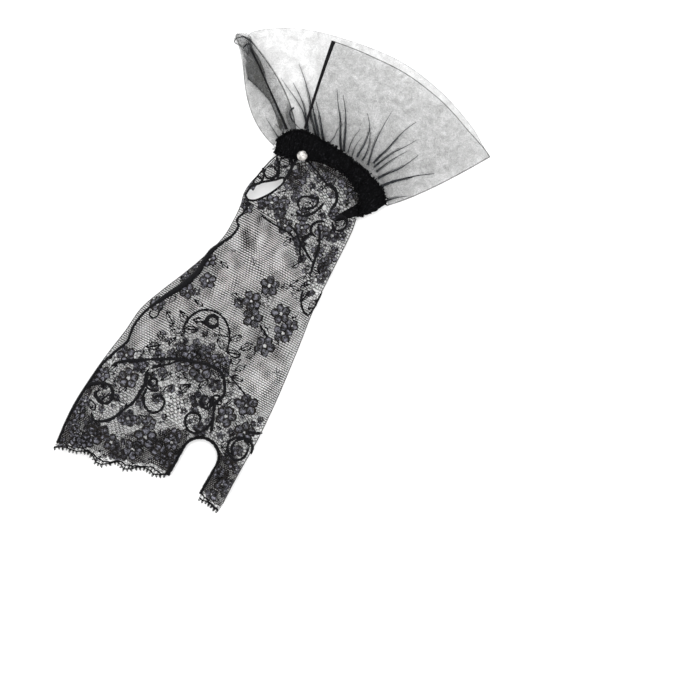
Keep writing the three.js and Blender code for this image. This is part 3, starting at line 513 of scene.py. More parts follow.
studio = {"floor": "#f4f4f4", "fleck": "#fafafa", "floorSize": 5, "floorDrop": 0.3, "world": 1.36,
          "keyLight": {"size": 0.9, "power": 8.0, "spot": (-0.5, 0.5, 1.3)},
          "fillLight": {"size": 1.2, "power": 3.0, "spot": (0.8, -0.5, 1.2)}}
deselect()
bpy.ops.mesh.primitive_plane_add(size=studio["floorSize"], location=(0, 0, -studio["floorDrop"] * mm))
floor = bpy.context.object
floor.name = "white_floor"
paper, tree, place = newMaterial("whitePaper")
fibre = addNode(tree, "ShaderNodeTexNoise", {"Vector": place, "Scale": 40.0, "Detail": 3.0})
finishMaterial(tree, {"Base Color": twoTone(tree, fibre.outputs["Fac"], studio["floor"], studio["fleck"]),
                      "Roughness": 0.9, "Specular IOR Level": 0.1})
floor.data.materials.append(paper)
for name in ("keyLight", "fillLight"):
    light = studio[name]
    bpy.ops.object.light_add(type="AREA", location=light["spot"])
    lamp = bpy.context.object
    lamp.name = name
    lamp.data.size = light["size"]
    lamp.data.energy = light["power"]
    lamp.rotation_euler = (-Vector(light["spot"])).to_track_quat("-Z", "Y").to_euler()
world = bpy.data.worlds.new("whiteStudio")
bpy.context.scene.world = world
world.use_nodes = True
world.node_tree.nodes["Background"].inputs["Color"].default_value = (1, 1, 1, 1)
world.node_tree.nodes["Background"].inputs["Strength"].default_value = studio["world"]
bpy.context.scene.view_settings.view_transform = "Standard"
print("camera, light and floor set")


# Scattered places
dice = random.Random(11)
strewn = {"x": (-60, 52), "y": (-154, 80), "margin": 1.5, "side": 2, "tries": 40, "room": 0.75, "size": (0.8, 1.2)}


def scatter(count, gap, size, taken, front=True):  # seeded, evenly loose places in the coarse net and the clothwork
    found = []
    for _ in range(count * strewn["tries"]):
        x, y = dice.uniform(*strewn["x"]), dice.uniform(*strewn["y"])
        if len(found) == count:
            break
        if int(zoneAt(x, y)) == 0 or not bool(inCloth(x, y, strewn["margin"])):
            continue
        if float(sideDistance(x, y)) < strewn["side"] or bool(near(x, y, clearNet)):
            continue
        if any(math.hypot(x - p[0], y - p[1]) < gap + strewn["room"] * p[2] for p in taken):
            continue
        if any(math.hypot(x - p[0], y - p[1]) < gap for p in found):
            continue
        found.append((x, y, size * dice.uniform(*strewn["size"]), dice.uniform(0, 360), front))
    return found


glints = scatter(90, 3.6, 4.4, eyes)  # tiny holes that catch the light


# Net: rows of looped thread run round the sleeve, tied to the next row at every second loop
netRows = {
    "net_ground": {"pitch": 1.3, "loop": 0.9, "swing": 0.12, "strand": 0.318, "tie": 0.1, "zone": 0},
    "net_coarse": {"pitch": 1.75, "loop": 1.45, "swing": 0.36, "strand": 0.28, "tie": 0.28, "zone": 1},
    "net_clothwork": {"pitch": 0.9, "loop": 0.68, "swing": 0.14, "strand": 0.36, "tie": 0.28, "zone": 2},
}
netSpan = {"top": 79, "long": 235, "steps": 90, "lean": 0.3, "tieReach": 2.2, "calm": 10}


def clothDrift(x, y, front):  # slow wander of the threads, different on each side so that the layers beat
    phase = np.where(front, 0.0, 2.3)
    dx = 0.4 * np.sin(0.11 * y + 0.05 * x + phase)
    dy = 0.45 * np.sin(0.16 * x + 0.05 * y + 1.7 * phase) * np.cos(0.09 * y - 0.05 * x + phase)
    dy = dy + 0.25 * np.sin(0.45 * y + 0.2 * x + 3 * phase)
    return dx, dy


wrinkleChart = chart(  # bunched threads in the cuff's and the palm's soft folds
    (1.5, 0.6, [262, 258, 255, 252], [210, 226, 240, 256]),
    (2.4, 0.6, [247, 246, 247, 249], [222, 238, 252, 268]),
    (1.1, 0.4, [272, 268, 262, 258, 260, 268, 278], [222, 238, 250, 262, 272, 276, 272]),
    (1.1, 0.35, [237, 236, 238, 246, 258], [262, 274, 284, 290, 288]),
    (1.2, 0.35, [282, 276, 272, 270], [236, 248, 258, 268]),
    (2.0, 0.4, [290, 282, 272, 262], [352, 372, 388, 400]),
    (1.5, 0.3, [256, 262, 270, 282], [368, 362, 358, 356]),
    (2.6, 0.4, [236, 230, 224, 220], [224, 236, 250, 264]),
    (1.4, 0.1, [148, 152, 160, 170], [340, 334, 330, 322]),
    names=("wide", "dense", "u", "v"))
wrinkles = [(chartRoute(row["u"], row["v"], 1.5), row["wide"], row["dense"]) for row in wrinkleChart]


def strandShare(x, y, front):  # threads bunch along soft creases and in the wrinkles
    crease = np.sin(0.42 * x + 0.11 * y + np.where(front, 0.4, 1.9)) * np.sin(0.05 * y - 0.03 * x + 0.7)
    share = 1 + 0.27 * crease + 0.12 * np.sin(0.9 * x - 0.3 * y)
    for route, wide, dense in wrinkles:
        apart = np.hypot(x[:, None] - route[:, 0], y[:, None] - route[:, 1]).min(1)
        share = share + dense * np.exp(-(apart / wide) ** 2)
    return share


def spansAt(y):  # the cross row's ends, on either side of the notch below its top
    inset = sleeve["sink"]
    left, right = float(readTable(sleeve["left"], y)) + inset, float(readTable(sleeve["right"], y)) - inset
    up, radius = y - sleeve["crotchY"], sleeve["crotchRadius"] + inset
    if up >= radius:
        return [(left, right)]
    half = radius if up <= 0 else math.sqrt(radius ** 2 - up ** 2)
    return [(left, sleeve["crotchX"] - half), (sleeve["crotchX"] + half, right)]


def netRing(y, span, loop):  # evenly spaced points round one cross row: over the back of the hand, then under
    s = (1 - np.cos(np.pi * np.linspace(0, 1, netSpan["steps"]))) / 2
    x = span[0] + (span[1] - span[0]) * s
    rowY = np.full_like(x, y)
    above, below = topAt(x, rowY) - sleeve["sink"], undersideAt(x, rowY) + sleeve["sink"]
    ringX, ringZ = np.r_[x, x[::-1], x[0]], np.r_[above, below[::-1], above[0]]
    run = np.r_[0, np.cumsum(np.hypot(np.diff(ringX), np.diff(ringZ)))]
    count = max(8, 2 * round(run[-1] / loop / 2))
    at = np.arange(count) / count * run[-1]
    px, pz = np.interp(at, run, ringX), np.interp(at, run, ringZ)
    tangent = np.c_[np.roll(px, -1) - np.roll(px, 1), np.zeros(count), np.roll(pz, -1) - np.roll(pz, 1)]
    tangent /= np.maximum(np.linalg.norm(tangent, axis=1, keepdims=True), 1e-9)
    normal = np.c_[-tangent[:, 2], np.zeros(count), tangent[:, 0]]
    return px, pz, normal, at < run[netSpan["steps"] - 1]


def makeNet(name, pitch, loop, swing, strand, tie, zone):
    points, faces, previous, used = [], [], [], 0
    for row in range(int(netSpan["long"] / pitch)):
        y = netSpan["top"] - row * pitch
        rings = []
        for span in spansAt(y):
            px, pz, normal, front = netRing(y, span, loop)
            level = np.full_like(px, y)
            index = np.arange(len(px))
            dx, dy = clothDrift(px, y, front)
            calm = domeRise(np.maximum(sideDistance(px, level), 0) / netSpan["calm"])
            up = np.where((index + row) % 2 == 0, 1.0, -1.0)
            place = np.c_[px + dx * calm, y + dy * calm + swing * up, pz]
            there = inCloth(px, level) & inZone(place[:, 0], place[:, 1], zone)
            there &= ~near(place[:, 0], place[:, 1], eyes + glints, eyeShare)
            there &= ~insidePolygon(placketSlit, place[:, 0], place[:, 1])
            rings.append({"place": place, "normal": normal, "there": there, "up": up,
                          "half": strand / 2 * strandShare(px, level, front)})
        for n, ring in enumerate(rings):
            place, there, half = ring["place"], ring["there"], ring["half"][:, None]
            count = len(place)
            forward = np.roll(place, -1, 0) - np.roll(place, 1, 0)
            forward[:, 1] *= netSpan["lean"]  # the thread lies flat along its row
            side = np.cross(ring["normal"], forward)
            side *= half / np.maximum(np.linalg.norm(side, axis=1, keepdims=True), 1e-9)
            points.append(np.stack([place - side, place + side], 1).reshape(-1, 3))
            k = np.flatnonzero(there & np.roll(there, -1))
            m = (k + 1) % count
            faces.append(used + np.stack([2 * k, 2 * m, 2 * m + 1, 2 * k + 1], 1))
            used += 2 * count
            if len(previous) != len(rings):
                continue
            above = previous[n]
            k = np.flatnonzero(there & (ring["up"] > 0))  # each raised loop is tied to the row above it
            other = len(above["place"])
            m = np.round(k / count * other).astype(int)
            m = np.where(above["up"][m % other] < 0, m, m + 1) % other
            gap = np.linalg.norm(place[k] - above["place"][m], axis=1)
            good = above["there"][m] & (gap < netSpan["tieReach"] * pitch)
            k, m = k[good], m[good]
            if not len(k):
                continue
            start, end = place[k], above["place"][m]
            side = np.cross(ring["normal"][k], end - start)
            long = np.maximum(np.linalg.norm(side, axis=1, keepdims=True), 1e-9)
            side *= tie / strand * ring["half"][k][:, None] / long
            points.append(np.stack([start - side, start + side, end + side, end - side], 1).reshape(-1, 3))
            faces.append(used + np.arange(4 * len(k)).reshape(-1, 4))
            used += 4 * len(k)
        previous = rings
    points, faces = np.concatenate(points), np.concatenate(faces)
    kept, inverse = np.unique(faces, return_inverse=True)
    piece = meshPiece(name, points[kept], inverse.reshape(faces.shape).tolist(), netThread, smooth=False)
    print(name, len(faces) * 2, "triangles")
    return piece


for name, row in netRows.items():
    settle(makeNet(name, **row), "lace", "lace_sleeve")

# The fold threads: the net's own edge where the tube turns over, so that its outline runs clean
foldThread = {"radius": 0.22, "inset": 0.35, "heights": (1.5, 2.9)}
foldRoutes = []
for key, side, low, high in (("left", 1, -149, 64), ("right", -1, -131, 58)):
    y = np.arange(low, high, 1.0)
    edge = readTable(sleeve[key], y) + side * foldThread["inset"]
    for height in foldThread["heights"]:
        foldRoutes.append((np.c_[edge, y, np.full_like(y, height)], foldThread["radius"]))
settle(cordPiece("fold_threads", foldRoutes, netThread, 0), "lace", "lace_sleeve")

# Motifs: petals, leaves and rings modelled once, then laid on the cloth
motifSize = {"petalLong": 0.4, "petalWide": 0.39, "petalThick": 0.05, "petalOut": 0.55, "leafWide": 0.58,
             "rough": 0.25, "fromSide": 0.3, "fromNotch": 0.2, "fromHem": 0.5, "pulls": 24, "pull": 0.35, "probe": 0.3}


def modelOnce(build):  # makes a small piece with operators and hands back its points and faces
    deselect()
    build()
    model = bpy.context.object
    bpy.ops.object.transform_apply(location=True, rotation=True, scale=True)
    points = np.array([v.co for v in model.data.vertices])
    faces = [tuple(p.vertices) for p in model.data.polygons]
    bpy.data.objects.remove(model, do_unlink=True)
    return points, faces


def drawnIn(narrowing, scale, location):  # narrows the new primitive along its length, then sizes and places it
    model = bpy.context.object
    for vertex in model.data.vertices:
        vertex.co.y *= narrowing(vertex.co.x)
    model.scale, model.location = scale, location


def petalNarrowing(x):
    return 0.94 + 0.1 * x


def leafNarrowing(x):
    return 1 - 0.45 * abs(x)


def addPetal():  # a low pad, broader towards its tip
    bpy.ops.mesh.primitive_uv_sphere_add(segments=10, ring_count=4, radius=1)
    drawnIn(petalNarrowing, (motifSize["petalLong"], motifSize["petalWide"], motifSize["petalThick"]),
            (motifSize["petalOut"], 0, 0))


def addPetalOutline():
    bpy.ops.mesh.primitive_torus_add(major_radius=0.96, minor_radius=0.15, major_segments=12, minor_segments=4)
    drawnIn(petalNarrowing, (motifSize["petalLong"], motifSize["petalWide"], 0.5), (motifSize["petalOut"], 0, 0.03))


def addLeaf():
    bpy.ops.mesh.primitive_uv_sphere_add(segments=10, ring_count=4, radius=1)
    drawnIn(leafNarrowing, (1, motifSize["leafWide"], 0.07), (1, 0, 0))


def addLeafOutline():
    bpy.ops.mesh.primitive_torus_add(major_radius=1, minor_radius=0.17, major_segments=14, minor_segments=4)
    drawnIn(leafNarrowing, (1, motifSize["leafWide"], 0.6), (1, 0, 0.05))


def addVein():
    bpy.ops.mesh.primitive_cylinder_add(vertices=4, radius=0.08, depth=2.3, rotation=(0, math.pi / 2, 0),
                                        location=(0.85, 0, 0.07))


def addRing():
    bpy.ops.mesh.primitive_torus_add(major_radius=1, minor_radius=0.2, major_segments=16, minor_segments=5)


def addPicot():  # a tight little loop, drawn out to a tooth
    bpy.ops.mesh.primitive_torus_add(major_radius=0.8, minor_radius=0.42, major_segments=10, minor_segments=4)
    tooth = bpy.context.object
    for vertex in tooth.data.vertices:
        vertex.co.x *= 0.75 + 0.25 * vertex.co.y
    tooth.scale = (0.8, 1.15, 0.8)


def turned(points, angle):
    return (points[:, 0] * math.cos(angle) - points[:, 1] * math.sin(angle),
            points[:, 0] * math.sin(angle) + points[:, 1] * math.cos(angle))


def together(*models):
    allPoints, allFaces, used = [], [], 0
    for points, faces in models:
        allFaces += [tuple(i + used for i in face) for face in faces]
        allPoints.append(points)
        used += len(points)
    return np.concatenate(allPoints), allFaces


def fiveTimes(points, faces):
    return together(*[(np.c_[(*turned(points, 2 * math.pi * n / 5), points[:, 2])], faces) for n in range(5)])


ringModel = modelOnce(addRing)
flowerFill = fiveTimes(*modelOnce(addPetal))
flowerLines = fiveTimes(*modelOnce(addPetalOutline))
picotModel = modelOnce(addPicot)
leafFill = modelOnce(addLeaf)
leafLines = together(modelOnce(addLeafOutline), modelOnce(addVein))


def roughen(x, y):  # handwork is never even: a slow pull of every motif's outline
    dx = np.sin(1.7 * x + 0.8 * y) + np.sin(2.7 * y - 2.1 * x + 2) + 0.7 * np.sin(4.4 * x + 3.1 * y + 1)
    dy = np.sin(1.4 * y - 1.0 * x + 1) + np.sin(2.3 * x + 2.5 * y + 4) + 0.7 * np.sin(3.6 * y - 3.9 * x + 3)
    return motifSize["rough"] * dx, motifSize["rough"] * dy


def clampInside(x, y):  # nothing sewn on the lace stands out over its sides or into the notch
    inset = motifSize["fromSide"]
    x = np.clip(x, readTable(sleeve["left"], y) + inset, readTable(sleeve["right"], y) - inset)
    dx, up = x - sleeve["crotchX"], np.maximum(y - sleeve["crotchY"], 0)
    far, least = np.maximum(np.hypot(dx, up), 1e-3), sleeve["crotchRadius"] + motifSize["fromNotch"]
    push = np.where(far < least, least / far, 1)
    return sleeve["crotchX"] + dx * push, np.where(up > 0, sleeve["crotchY"] + up * push, y)


def layMotifs(name, model, places, material, lift=0.25, smooth=False):  # places: x, y, size, turn in degrees, front
    shape, faces = model
    laid = []
    for x, y, size, turn, front in places:
        dx, dy = turned(shape, math.radians(turn))
        px, py = x + size * dx, y + size * dy
        if not smooth:
            dx, dy = roughen(px, py)
            px, py = clampInside(px + dx, py + dy)
        if front:
            pz = topAt(px, py) - sleeve["sink"] + lift + size * shape[:, 2]
        else:
            pz = np.maximum(undersideAt(px, py) + sleeve["sink"] - size * shape[:, 2] * 0.5, 0.02)
        laid.append((np.c_[px, py, pz], faces))
    print(name, len(places), "motifs")
    return settle(meshPiece(name, *together(*laid), material), "lace", "lace_sleeve")


leafChart = chart(
    (168, 312, 174, 324), (181, 312, 188, 323), (197, 330, 184, 329), (171, 326, 181, 333), (163, 334, 168, 342),
    (194, 320, 206, 323), (220, 328, 228, 337), (231, 340, 242, 337), (218, 340, 225, 348), (241, 349, 253, 344),
    (228, 352, 241, 355), (273, 349, 278, 343), (282, 287, 291, 286), (290, 286, 298, 281), (292, 287, 299, 291),
    (298, 281, 305, 277), (292, 293, 297, 299), (303, 300, 309, 292), (309, 309, 316, 300), (300, 290, 308, 285),
    (166, 340, 158, 334), (160, 345, 148, 347), (150, 350, 160, 355), (176, 338, 170, 345), (186, 342, 180, 350),
    (230, 362, 241, 360), (236, 370, 246, 366), (233, 376, 243, 380), (176, 372, 186, 378), (172, 374, 162, 380),
    (190, 385, 180, 392), (200, 388, 208, 380), (165, 392, 173, 386), (240, 428, 234, 420), (140, 415, 148, 422),
    (128, 405, 118, 400), (90, 400, 96, 410), (105, 398, 112, 390), (110, 372, 118, 366), (120, 392, 128, 386),
    (303, 206, 311, 203), (291, 240, 284, 246), (318, 240, 326, 246), (325, 262, 318, 270), (338, 230, 344, 238),
    (330, 246, 338, 250), (312, 268, 320, 274), (306, 274, 313, 282), (300, 262, 293, 268), (296, 250, 304, 256),
    (222, 262, 228, 268), (196, 300, 203, 306), (176, 296, 170, 302), (240, 300, 232, 294), (262, 292, 268, 298),
    (262, 326, 268, 336), (292, 318, 298, 312), (255, 352, 247, 358), (228, 440, 222, 448), (250, 440, 256, 446),
    names=("u", "v", "tipU", "tipV"))
sprigChart = chart((232, 251, 3.6, 0), (254, 261, 3.6, 20), (277, 372, 3.6, 10), (203, 262, 3, 0), (297, 320, 3, 30))
ringChart = chart((154, 382, 4.2, 0), (206, 400, 4.2, 0), (340, 222, 4.6, 0), (270.5, 172.5, 6.3, 0),
                  (154, 382, 3.2, 0), (285, 162.5, 4.8, 0), (258, 180.5, 4.0, 0), (244, 202, 3.6, 0))


def keepInside(places, share=0.8):  # draws a motif in from the sides and the hand's edge
    def room(x, y):
        return min(float(sideDistance(x, y)), y - float(handEdge(x)) - motifSize["fromHem"])

    kept, probe = [], motifSize["probe"]
    for x, y, size, turn, front in places:
        for _ in range(motifSize["pulls"]):
            here = room(x, y)
            if here >= share * size:
                break
            pull = np.array([room(x + dx, y + dy) - here for dx, dy in ((probe, 0), (0, probe))])
            x, y = (x, y) + motifSize["pull"] * pull / max(np.linalg.norm(pull), 1e-6)
        kept.append((float(x), float(y), size, turn, front))
    return kept


def leafPlaces(rows):
    places = []
    for row in rows:
        (x, y), (tipX, tipY) = glovePoint(row["u"], row["v"]), glovePoint(row["tipU"], row["tipV"])
        long = math.hypot(tipX - x, tipY - y)
        places.append((float(x), float(y), long / 2, math.degrees(math.atan2(tipY - y, tipX - x)), True))
    return places


flowers = keepInside(chartPlaces(flowerChart), 0.6)
hidden = keepInside(chartPlaces(mirrorFlowers, front=False))
smallFlowers = scatter(26, 6.0, 2.4, flowers)
hiddenSmall = scatter(30, 6.0, 2.6, hidden, False)
leaves = leafPlaces(leafChart)
looseLeaves = scatter(130, 3.0, 1.9, flowers + smallFlowers)
hiddenLeaves = scatter(40, 4.6, 2.0, hidden + hiddenSmall, False)
sprigs = [(x, y, 0.5 * size, turn + 90 * k, front)
          for x, y, size, turn, front in chartPlaces(sprigChart) for k in range(4)]
layMotifs("lace_petals", flowerFill, flowers + smallFlowers + hidden + hiddenSmall, clothStitch)
layMotifs("lace_petal_outlines", flowerLines, flowers + smallFlowers, netThread)
layMotifs("lace_leaves", leafFill, looseLeaves[::4] + hiddenLeaves, openStitch)
layMotifs("lace_leaf_outlines", leafLines, leaves + looseLeaves + sprigs, bindingCord)
layMotifs("lace_rings", ringModel, chartPlaces(ringChart), bindingCord, lift=0.4)

# Scrolls: a thicker outlining thread laid over the net
scrollChart = chart(
    (0.55, [183, 187, 192, 200, 208, 216, 223, 228, 230, 229, 227],
     [330, 322, 316, 311, 310, 312, 317, 325, 335, 345, 352]),
    (0.8, [112, 120, 140, 160, 180, 190, 200], [366, 362, 360, 359, 359, 361, 363]),
    (0.6, [152, 160, 170, 178, 186], [368, 366, 364, 361, 358]),
    (0.5, [150, 146, 146, 152, 160], [368, 376, 384, 390, 391]),
    (0.75, [200, 212, 222, 225, 224, 216, 214, 213, 211], [362, 366, 373, 384, 395, 403, 412, 422, 433]),
    (0.55, [212, 214, 213, 211], [395, 405, 420, 430]),
    (0.95, [88, 91.5, 101, 110.6, 113.8, 110.6, 104.2, 98, 96, 100],
     [388, 384, 383, 385.4, 393.4, 401.3, 403, 398, 393, 390]),
    (0.75, [92, 95, 102, 111, 118, 125, 133, 139, 145.7, 147, 150],
     [412, 420, 421, 419, 415, 409, 403, 395, 384, 380, 372]),
    (0.6, [148, 144, 145, 150, 157, 163, 165, 162, 157, 154], [388, 396, 404, 411, 412, 408, 401, 396, 396, 400]),
    (0.7, [200, 201, 197, 190, 186, 186, 189, 195, 202, 208, 212],
     [422, 417, 413, 413, 418, 424, 430, 433, 431, 427, 420]),
    (0.7, [233, 232.6, 238, 247.8, 252.6, 251], [454, 446, 439.6, 438.8, 446, 454]),
    (0.8, [247.8, 256, 262], [431.6, 433, 433]),
    (0.9, [325, 330, 335, 337, 336, 331], [184.5, 186, 190, 196, 203, 210]),
    (0.6, [300, 298, 301, 307, 313, 318, 316, 310, 303], [209, 203, 198, 197, 198, 200, 206, 209, 209]),
    (0.6, [296, 302, 310, 318, 324], [212, 216, 215, 210, 203]),
    (0.7, [325, 318, 312, 311, 316], [222, 222, 226, 233, 237]),
    (0.7, [332, 334, 339, 345, 347, 342, 336], [222, 229, 231, 228, 221, 216, 217]),
    (0.55, [303, 301, 303, 308], [290, 300, 310, 316]),
    (0.5, [308, 314, 318, 322], [316, 308, 300, 292]),
    (0.45, [152, 150, 153, 158, 160, 163], [310, 314, 318, 316, 311, 307]),
    (0.45, [195, 200, 206], [322, 322, 321]),
    (1.0, [218.6, 217, 213, 209, 207.4, 209, 213, 217, 218.6],
     [321.4, 325.6, 327, 325.4, 321.4, 317.4, 315.8, 317.4, 321.4]),
    (0.65, [249, 246, 239, 231, 228, 230, 237, 245, 249], [446, 440, 437, 440, 447, 455, 460, 456, 447]),
    (0.55, [288, 296, 300, 306, 312], [224, 232, 242, 252, 262]),
    (0.6, [318, 320, 318, 314, 310], [226, 238, 250, 262, 276]),
    (0.6, [311, 304, 300, 302], [233, 240, 250, 262]),
    (0.5, [262, 270, 280, 290, 296], [216, 222, 228, 234, 240]),
    (0.45, [304, 312, 320, 326], [158, 166, 176, 184]),
    (0.4, [222, 232, 242, 250], [366, 378, 390, 400]),
    (0.85, [203, 201.5, 204, 209, 212, 211], [396, 402, 407, 408, 403, 398]),
    (0.6, [222, 214, 214, 220, 222], [405, 402, 396, 396, 404]),
    names=("radius", "u", "v"))
scrollLook = {"stand": 0.45, "heavy": 1.25, "uneven": 0.55, "tip": 0.45, "taper": 0.25}
scrollRoutes = []
for scroll in scrollChart:
    route = chartRoute(scroll["u"], scroll["v"])
    fromEnd = np.minimum(np.arange(len(route)), np.arange(len(route))[::-1])
    taper = np.minimum(1, scrollLook["tip"] + scrollLook["taper"] * fromEnd)
    swell = 1 + scrollLook["uneven"] * waverAlong(route, 1.3, 5.0)
    scrollRoutes.append((onSleeve(route, scrollLook["stand"]), scrollLook["heavy"] * scroll["radius"] * taper * swell))
settle(cordPiece("lace_scrolls", scrollRoutes, bindingCord), "lace", "lace_sleeve")

tendril = {"turns": 1.35, "start": 0.5, "end": 2.9, "radius": 0.24, "gap": 5.0, "front": 16, "back": 12}


def tendrils(count, front, taken):  # small curls that fill the coarse net between the flowers
    routes = []
    for x, y, size, turn, _ in scatter(count, tendril["gap"], 1, taken, front):
        t = np.linspace(0, 1, 22)
        angle = math.radians(turn) + 2 * math.pi * tendril["turns"] * t * (1 if turn > 180 else -1)
        radius = size * (tendril["start"] + (tendril["end"] - tendril["start"]) * t)
        plan = np.c_[x + radius * np.cos(angle), y + radius * np.sin(angle)]
        if inCloth(plan[:, 0], plan[:, 1], 0.8).all() and (sideDistance(plan[:, 0], plan[:, 1]) > 1).all():
            routes.append((onSleeve(plan, 0.25, front), tendril["radius"] * (1.3 - 0.6 * t)))
    return routes


settle(cordPiece("lace_tendrils", tendrils(tendril["front"], True, flowers) + tendrils(tendril["back"], False, hidden),
                 netThread, 0), "lace", "lace_sleeve")
print("motifs and scrolls laid")

# Edges: seam, placket and notch cords, picots along the hand
seamRoute = [(-26.6, 33.4), (-27.0, 26), (-28.2, 20.6), (-25.4, 17.6), (-26, 11), (-29, 4.4), (-32, -3),
             (-32.6, -11), (-33, -19), (-36.4, -29), (-41.4, -39), (-45.8, -48), (-48.8, -56), (-49.9, -66),
             (-48.6, -75), (-51.8, -84), (-54.8, -94), (-56.1, -106), (-56.8, -120), (-56.4, -134), (-54.6, -148)]
seamWidth = [(-150, 0.8), (-90, 0.85), (-72, 0.8), (-62, 0.8), (-48, 0.95), (-40, 1.6), (-26, 1.95), (-14, 1.65),
             (-4, 1.5), (5, 1.0), (20, 0.75), (40, 0.8), (57, 0.9)]
seam = {"stand": 0.5, "sway": 0.35, "uneven": 0.35}
route = smoothRoute(seamRoute, 0.8)
swell = waverAlong(route, 0.9, 3.1)
route[:, 0] += seam["sway"] * swell
seamRadius = readTable(seamWidth, route[:, 1]) * (1 + seam["uneven"] * swell)
settle(cordPiece("seam_cord", [(onSleeve(route, seam["stand"]), seamRadius)], bindingCord), "binding", "side_seam")

placket = {"radius": 0.72, "outset": 0.5, "stand": 0.4, "barStand": 0.45}
placketBars = chart(  # the slit's upper arm, its side, then the bars between the windows
    (0.95, [284, 288, 291, 294, 297], [181, 176, 170, 164, 159]),
    (0.4, [250, 257, 266, 274, 280], [188, 177, 166, 158, 154]),
    (0.7, [262, 264, 263], [182, 175, 168]), (0.8, [278, 279, 277], [179, 168, 158]),
    (0.8, [291, 292, 291], [172, 165, 158]),
    names=("radius", "u", "v"))
loop = smoothRoute(placketSlit + placketSlit[:1], 0.8)
fromMiddle = loop - loop.mean(axis=0)
outset = 1 + placket["outset"] / np.maximum(np.linalg.norm(fromMiddle, axis=1, keepdims=True), 1)
loop = loop.mean(axis=0) + fromMiddle * outset
placketRoutes = [(onSleeve(loop, placket["stand"]), placket["radius"])]
for bar in placketBars:
    placketRoutes.append((onSleeve(chartRoute(bar["u"], bar["v"]), placket["barStand"]), bar["radius"]))
settle(cordPiece("placket_cord", placketRoutes, bindingCord), "binding", "placket_binding")

notch = {"radius": 0.95, "inset": 0.2, "leg": 19.5, "archSteps": 48, "legSteps": 10, "uneven": 0.4, "heavier": 0.5,
         "heights": (1.6, 3.2)}
arch = []
for k in range(-notch["legSteps"], notch["archSteps"] + notch["legSteps"] + 1):  # up one leg, over and down the other
    angle = math.radians(180 * np.clip(k, 0, notch["archSteps"]) / notch["archSteps"])
    drop = max(-k, k - notch["archSteps"], 0) / notch["legSteps"] * notch["leg"]
    r = sleeve["crotchRadius"] - notch["inset"]
    arch.append((sleeve["crotchX"] - r * math.cos(angle), sleeve["crotchY"] + r * math.sin(angle) - drop))
arch = smoothRoute(arch, 0.7)
swell = 1 + notch["uneven"] * waverAlong(arch, 1.1, 8.0)
fingerSide = smoothStep((sleeve["crotchX"] - 6 - arch[:, 0]) / 5) * smoothStep((-112 - arch[:, 1]) / 8)
heavy = 1 + notch["heavier"] * fingerSide
arch[:, 0] -= 0.6 * (heavy - 1)
notchRoutes = [(np.c_[arch, np.full(len(arch), height)], notch["radius"] * heavy * swell)
               for height in notch["heights"]]
settle(cordPiece("notch_cords", notchRoutes, bindingCord), "binding", "crotch_binding")

picot = {"pitch": 2.1, "size": 0.8, "edgeRadius": 0.36, "scallop": 0.5, "backDrop": 3.0, "hang": 0.95}
edgeRoutes, picots = [], []
for table, fromX, toX in ((fingerEdge, -55.0, 11.6), (thumbEdge, 35.4, 49.4)):
    for front in (True, False):
        x = np.arange(fromX, toX, 0.5)
        y = readTable(table, x) + picot["scallop"] * np.abs(np.sin(math.pi * x / picot["pitch"] / 2))
        if not front:  # the palm's edge shows a little below, and meets the front's at both ends
            atEnds = np.clip((x + 56) / 6, 0, 1) * np.clip((toX - x) / 6, 0, 1)
            y = y - picot["backDrop"] * (0.65 + 0.35 * np.sin(0.4 * x)) * atEnds
        edgeRoutes.append((onSleeve(np.c_[x, y], 0.1, front), picot["edgeRadius"] * (1.3 if front else 1)))
        for px in np.arange(fromX + 0.6, toX, picot["pitch"]):
            py = float(np.interp(px, x, y))
            slope = float(np.interp(px + 0.5, x, y)) - float(np.interp(px - 0.5, x, y))
            size = picot["size"] * dice.uniform(0.8, 1.15)
            picots.append((px, py - picot["hang"], size, math.degrees(slope), front))
settle(cordPiece("hand_edge_cords", edgeRoutes, bindingCord, 0), "lace", "lace_sleeve")
layMotifs("lace_picots", picotModel, picots, bindingCord, 0.1, True)
print("edges finished")

# Wrist band: ruched mesh drawn up on elastic
gatherSeam = {"t": [0, 0.1, 0.2, 0.3, 0.5, 0.7, 0.8, 0.9, 1],
              "x": [-29.0, -28.0, -24.2, -17.0, 3.2, 23.5, 31.5, 38.2, 42.0],
              "y": [73.0, 79.2, 84.5, 86.6, 87.0, 84.1, 81.8, 78.6, 72.8]}
band = {"seat": 0.3, "thickness": 2.6, "frontLow": 3.4, "frontRise": 5.6, "backHigh": 2.6, "backDrop": 0.9,
        "mouth": 0.55, "folds": 46, "foldDepth": 0.9, "fray": 1.7, "across": 9, "frontSteps": 200, "backSteps": 100}


def bandPoint(t, front, share, lift, rib=0.0):  # t runs along the band, share from the cuff to the ruffle
    across = (1 - math.cos(math.pi * t)) / 2
    left, right = cuffSeam[0][0], cuffSeam[-1][0]
    cuffX = left + (right - left) * across
    cuffY = float(readTable(cuffSeam, cuffX)) + 2 * band["seat"]
    gx, gy = (float(readTable(list(zip(gatherSeam["t"], gatherSeam[key])), t)) for key in ("x", "y"))
    x, y = cuffX + (gx - cuffX) * share, cuffY + (gy - cuffY) * share
    q = (1 - abs(1 - 2 * across)) / band["mouth"]
    rise, side = float(domeRise(q)), 1 - float(domeRise(q * 2.2))
    inner = band["frontLow"] + band["frontRise"] * rise if front else band["backHigh"] - band["backDrop"] * rise
    grow = (band["thickness"] - rib) * lift
    z = inner + grow * (1 - 0.5 * side) if front else max(inner - grow, 0 if rise > 0.3 else 0.5)
    return Vector((x + (-1 if t < 0.5 else 1) * side * grow, y, z))


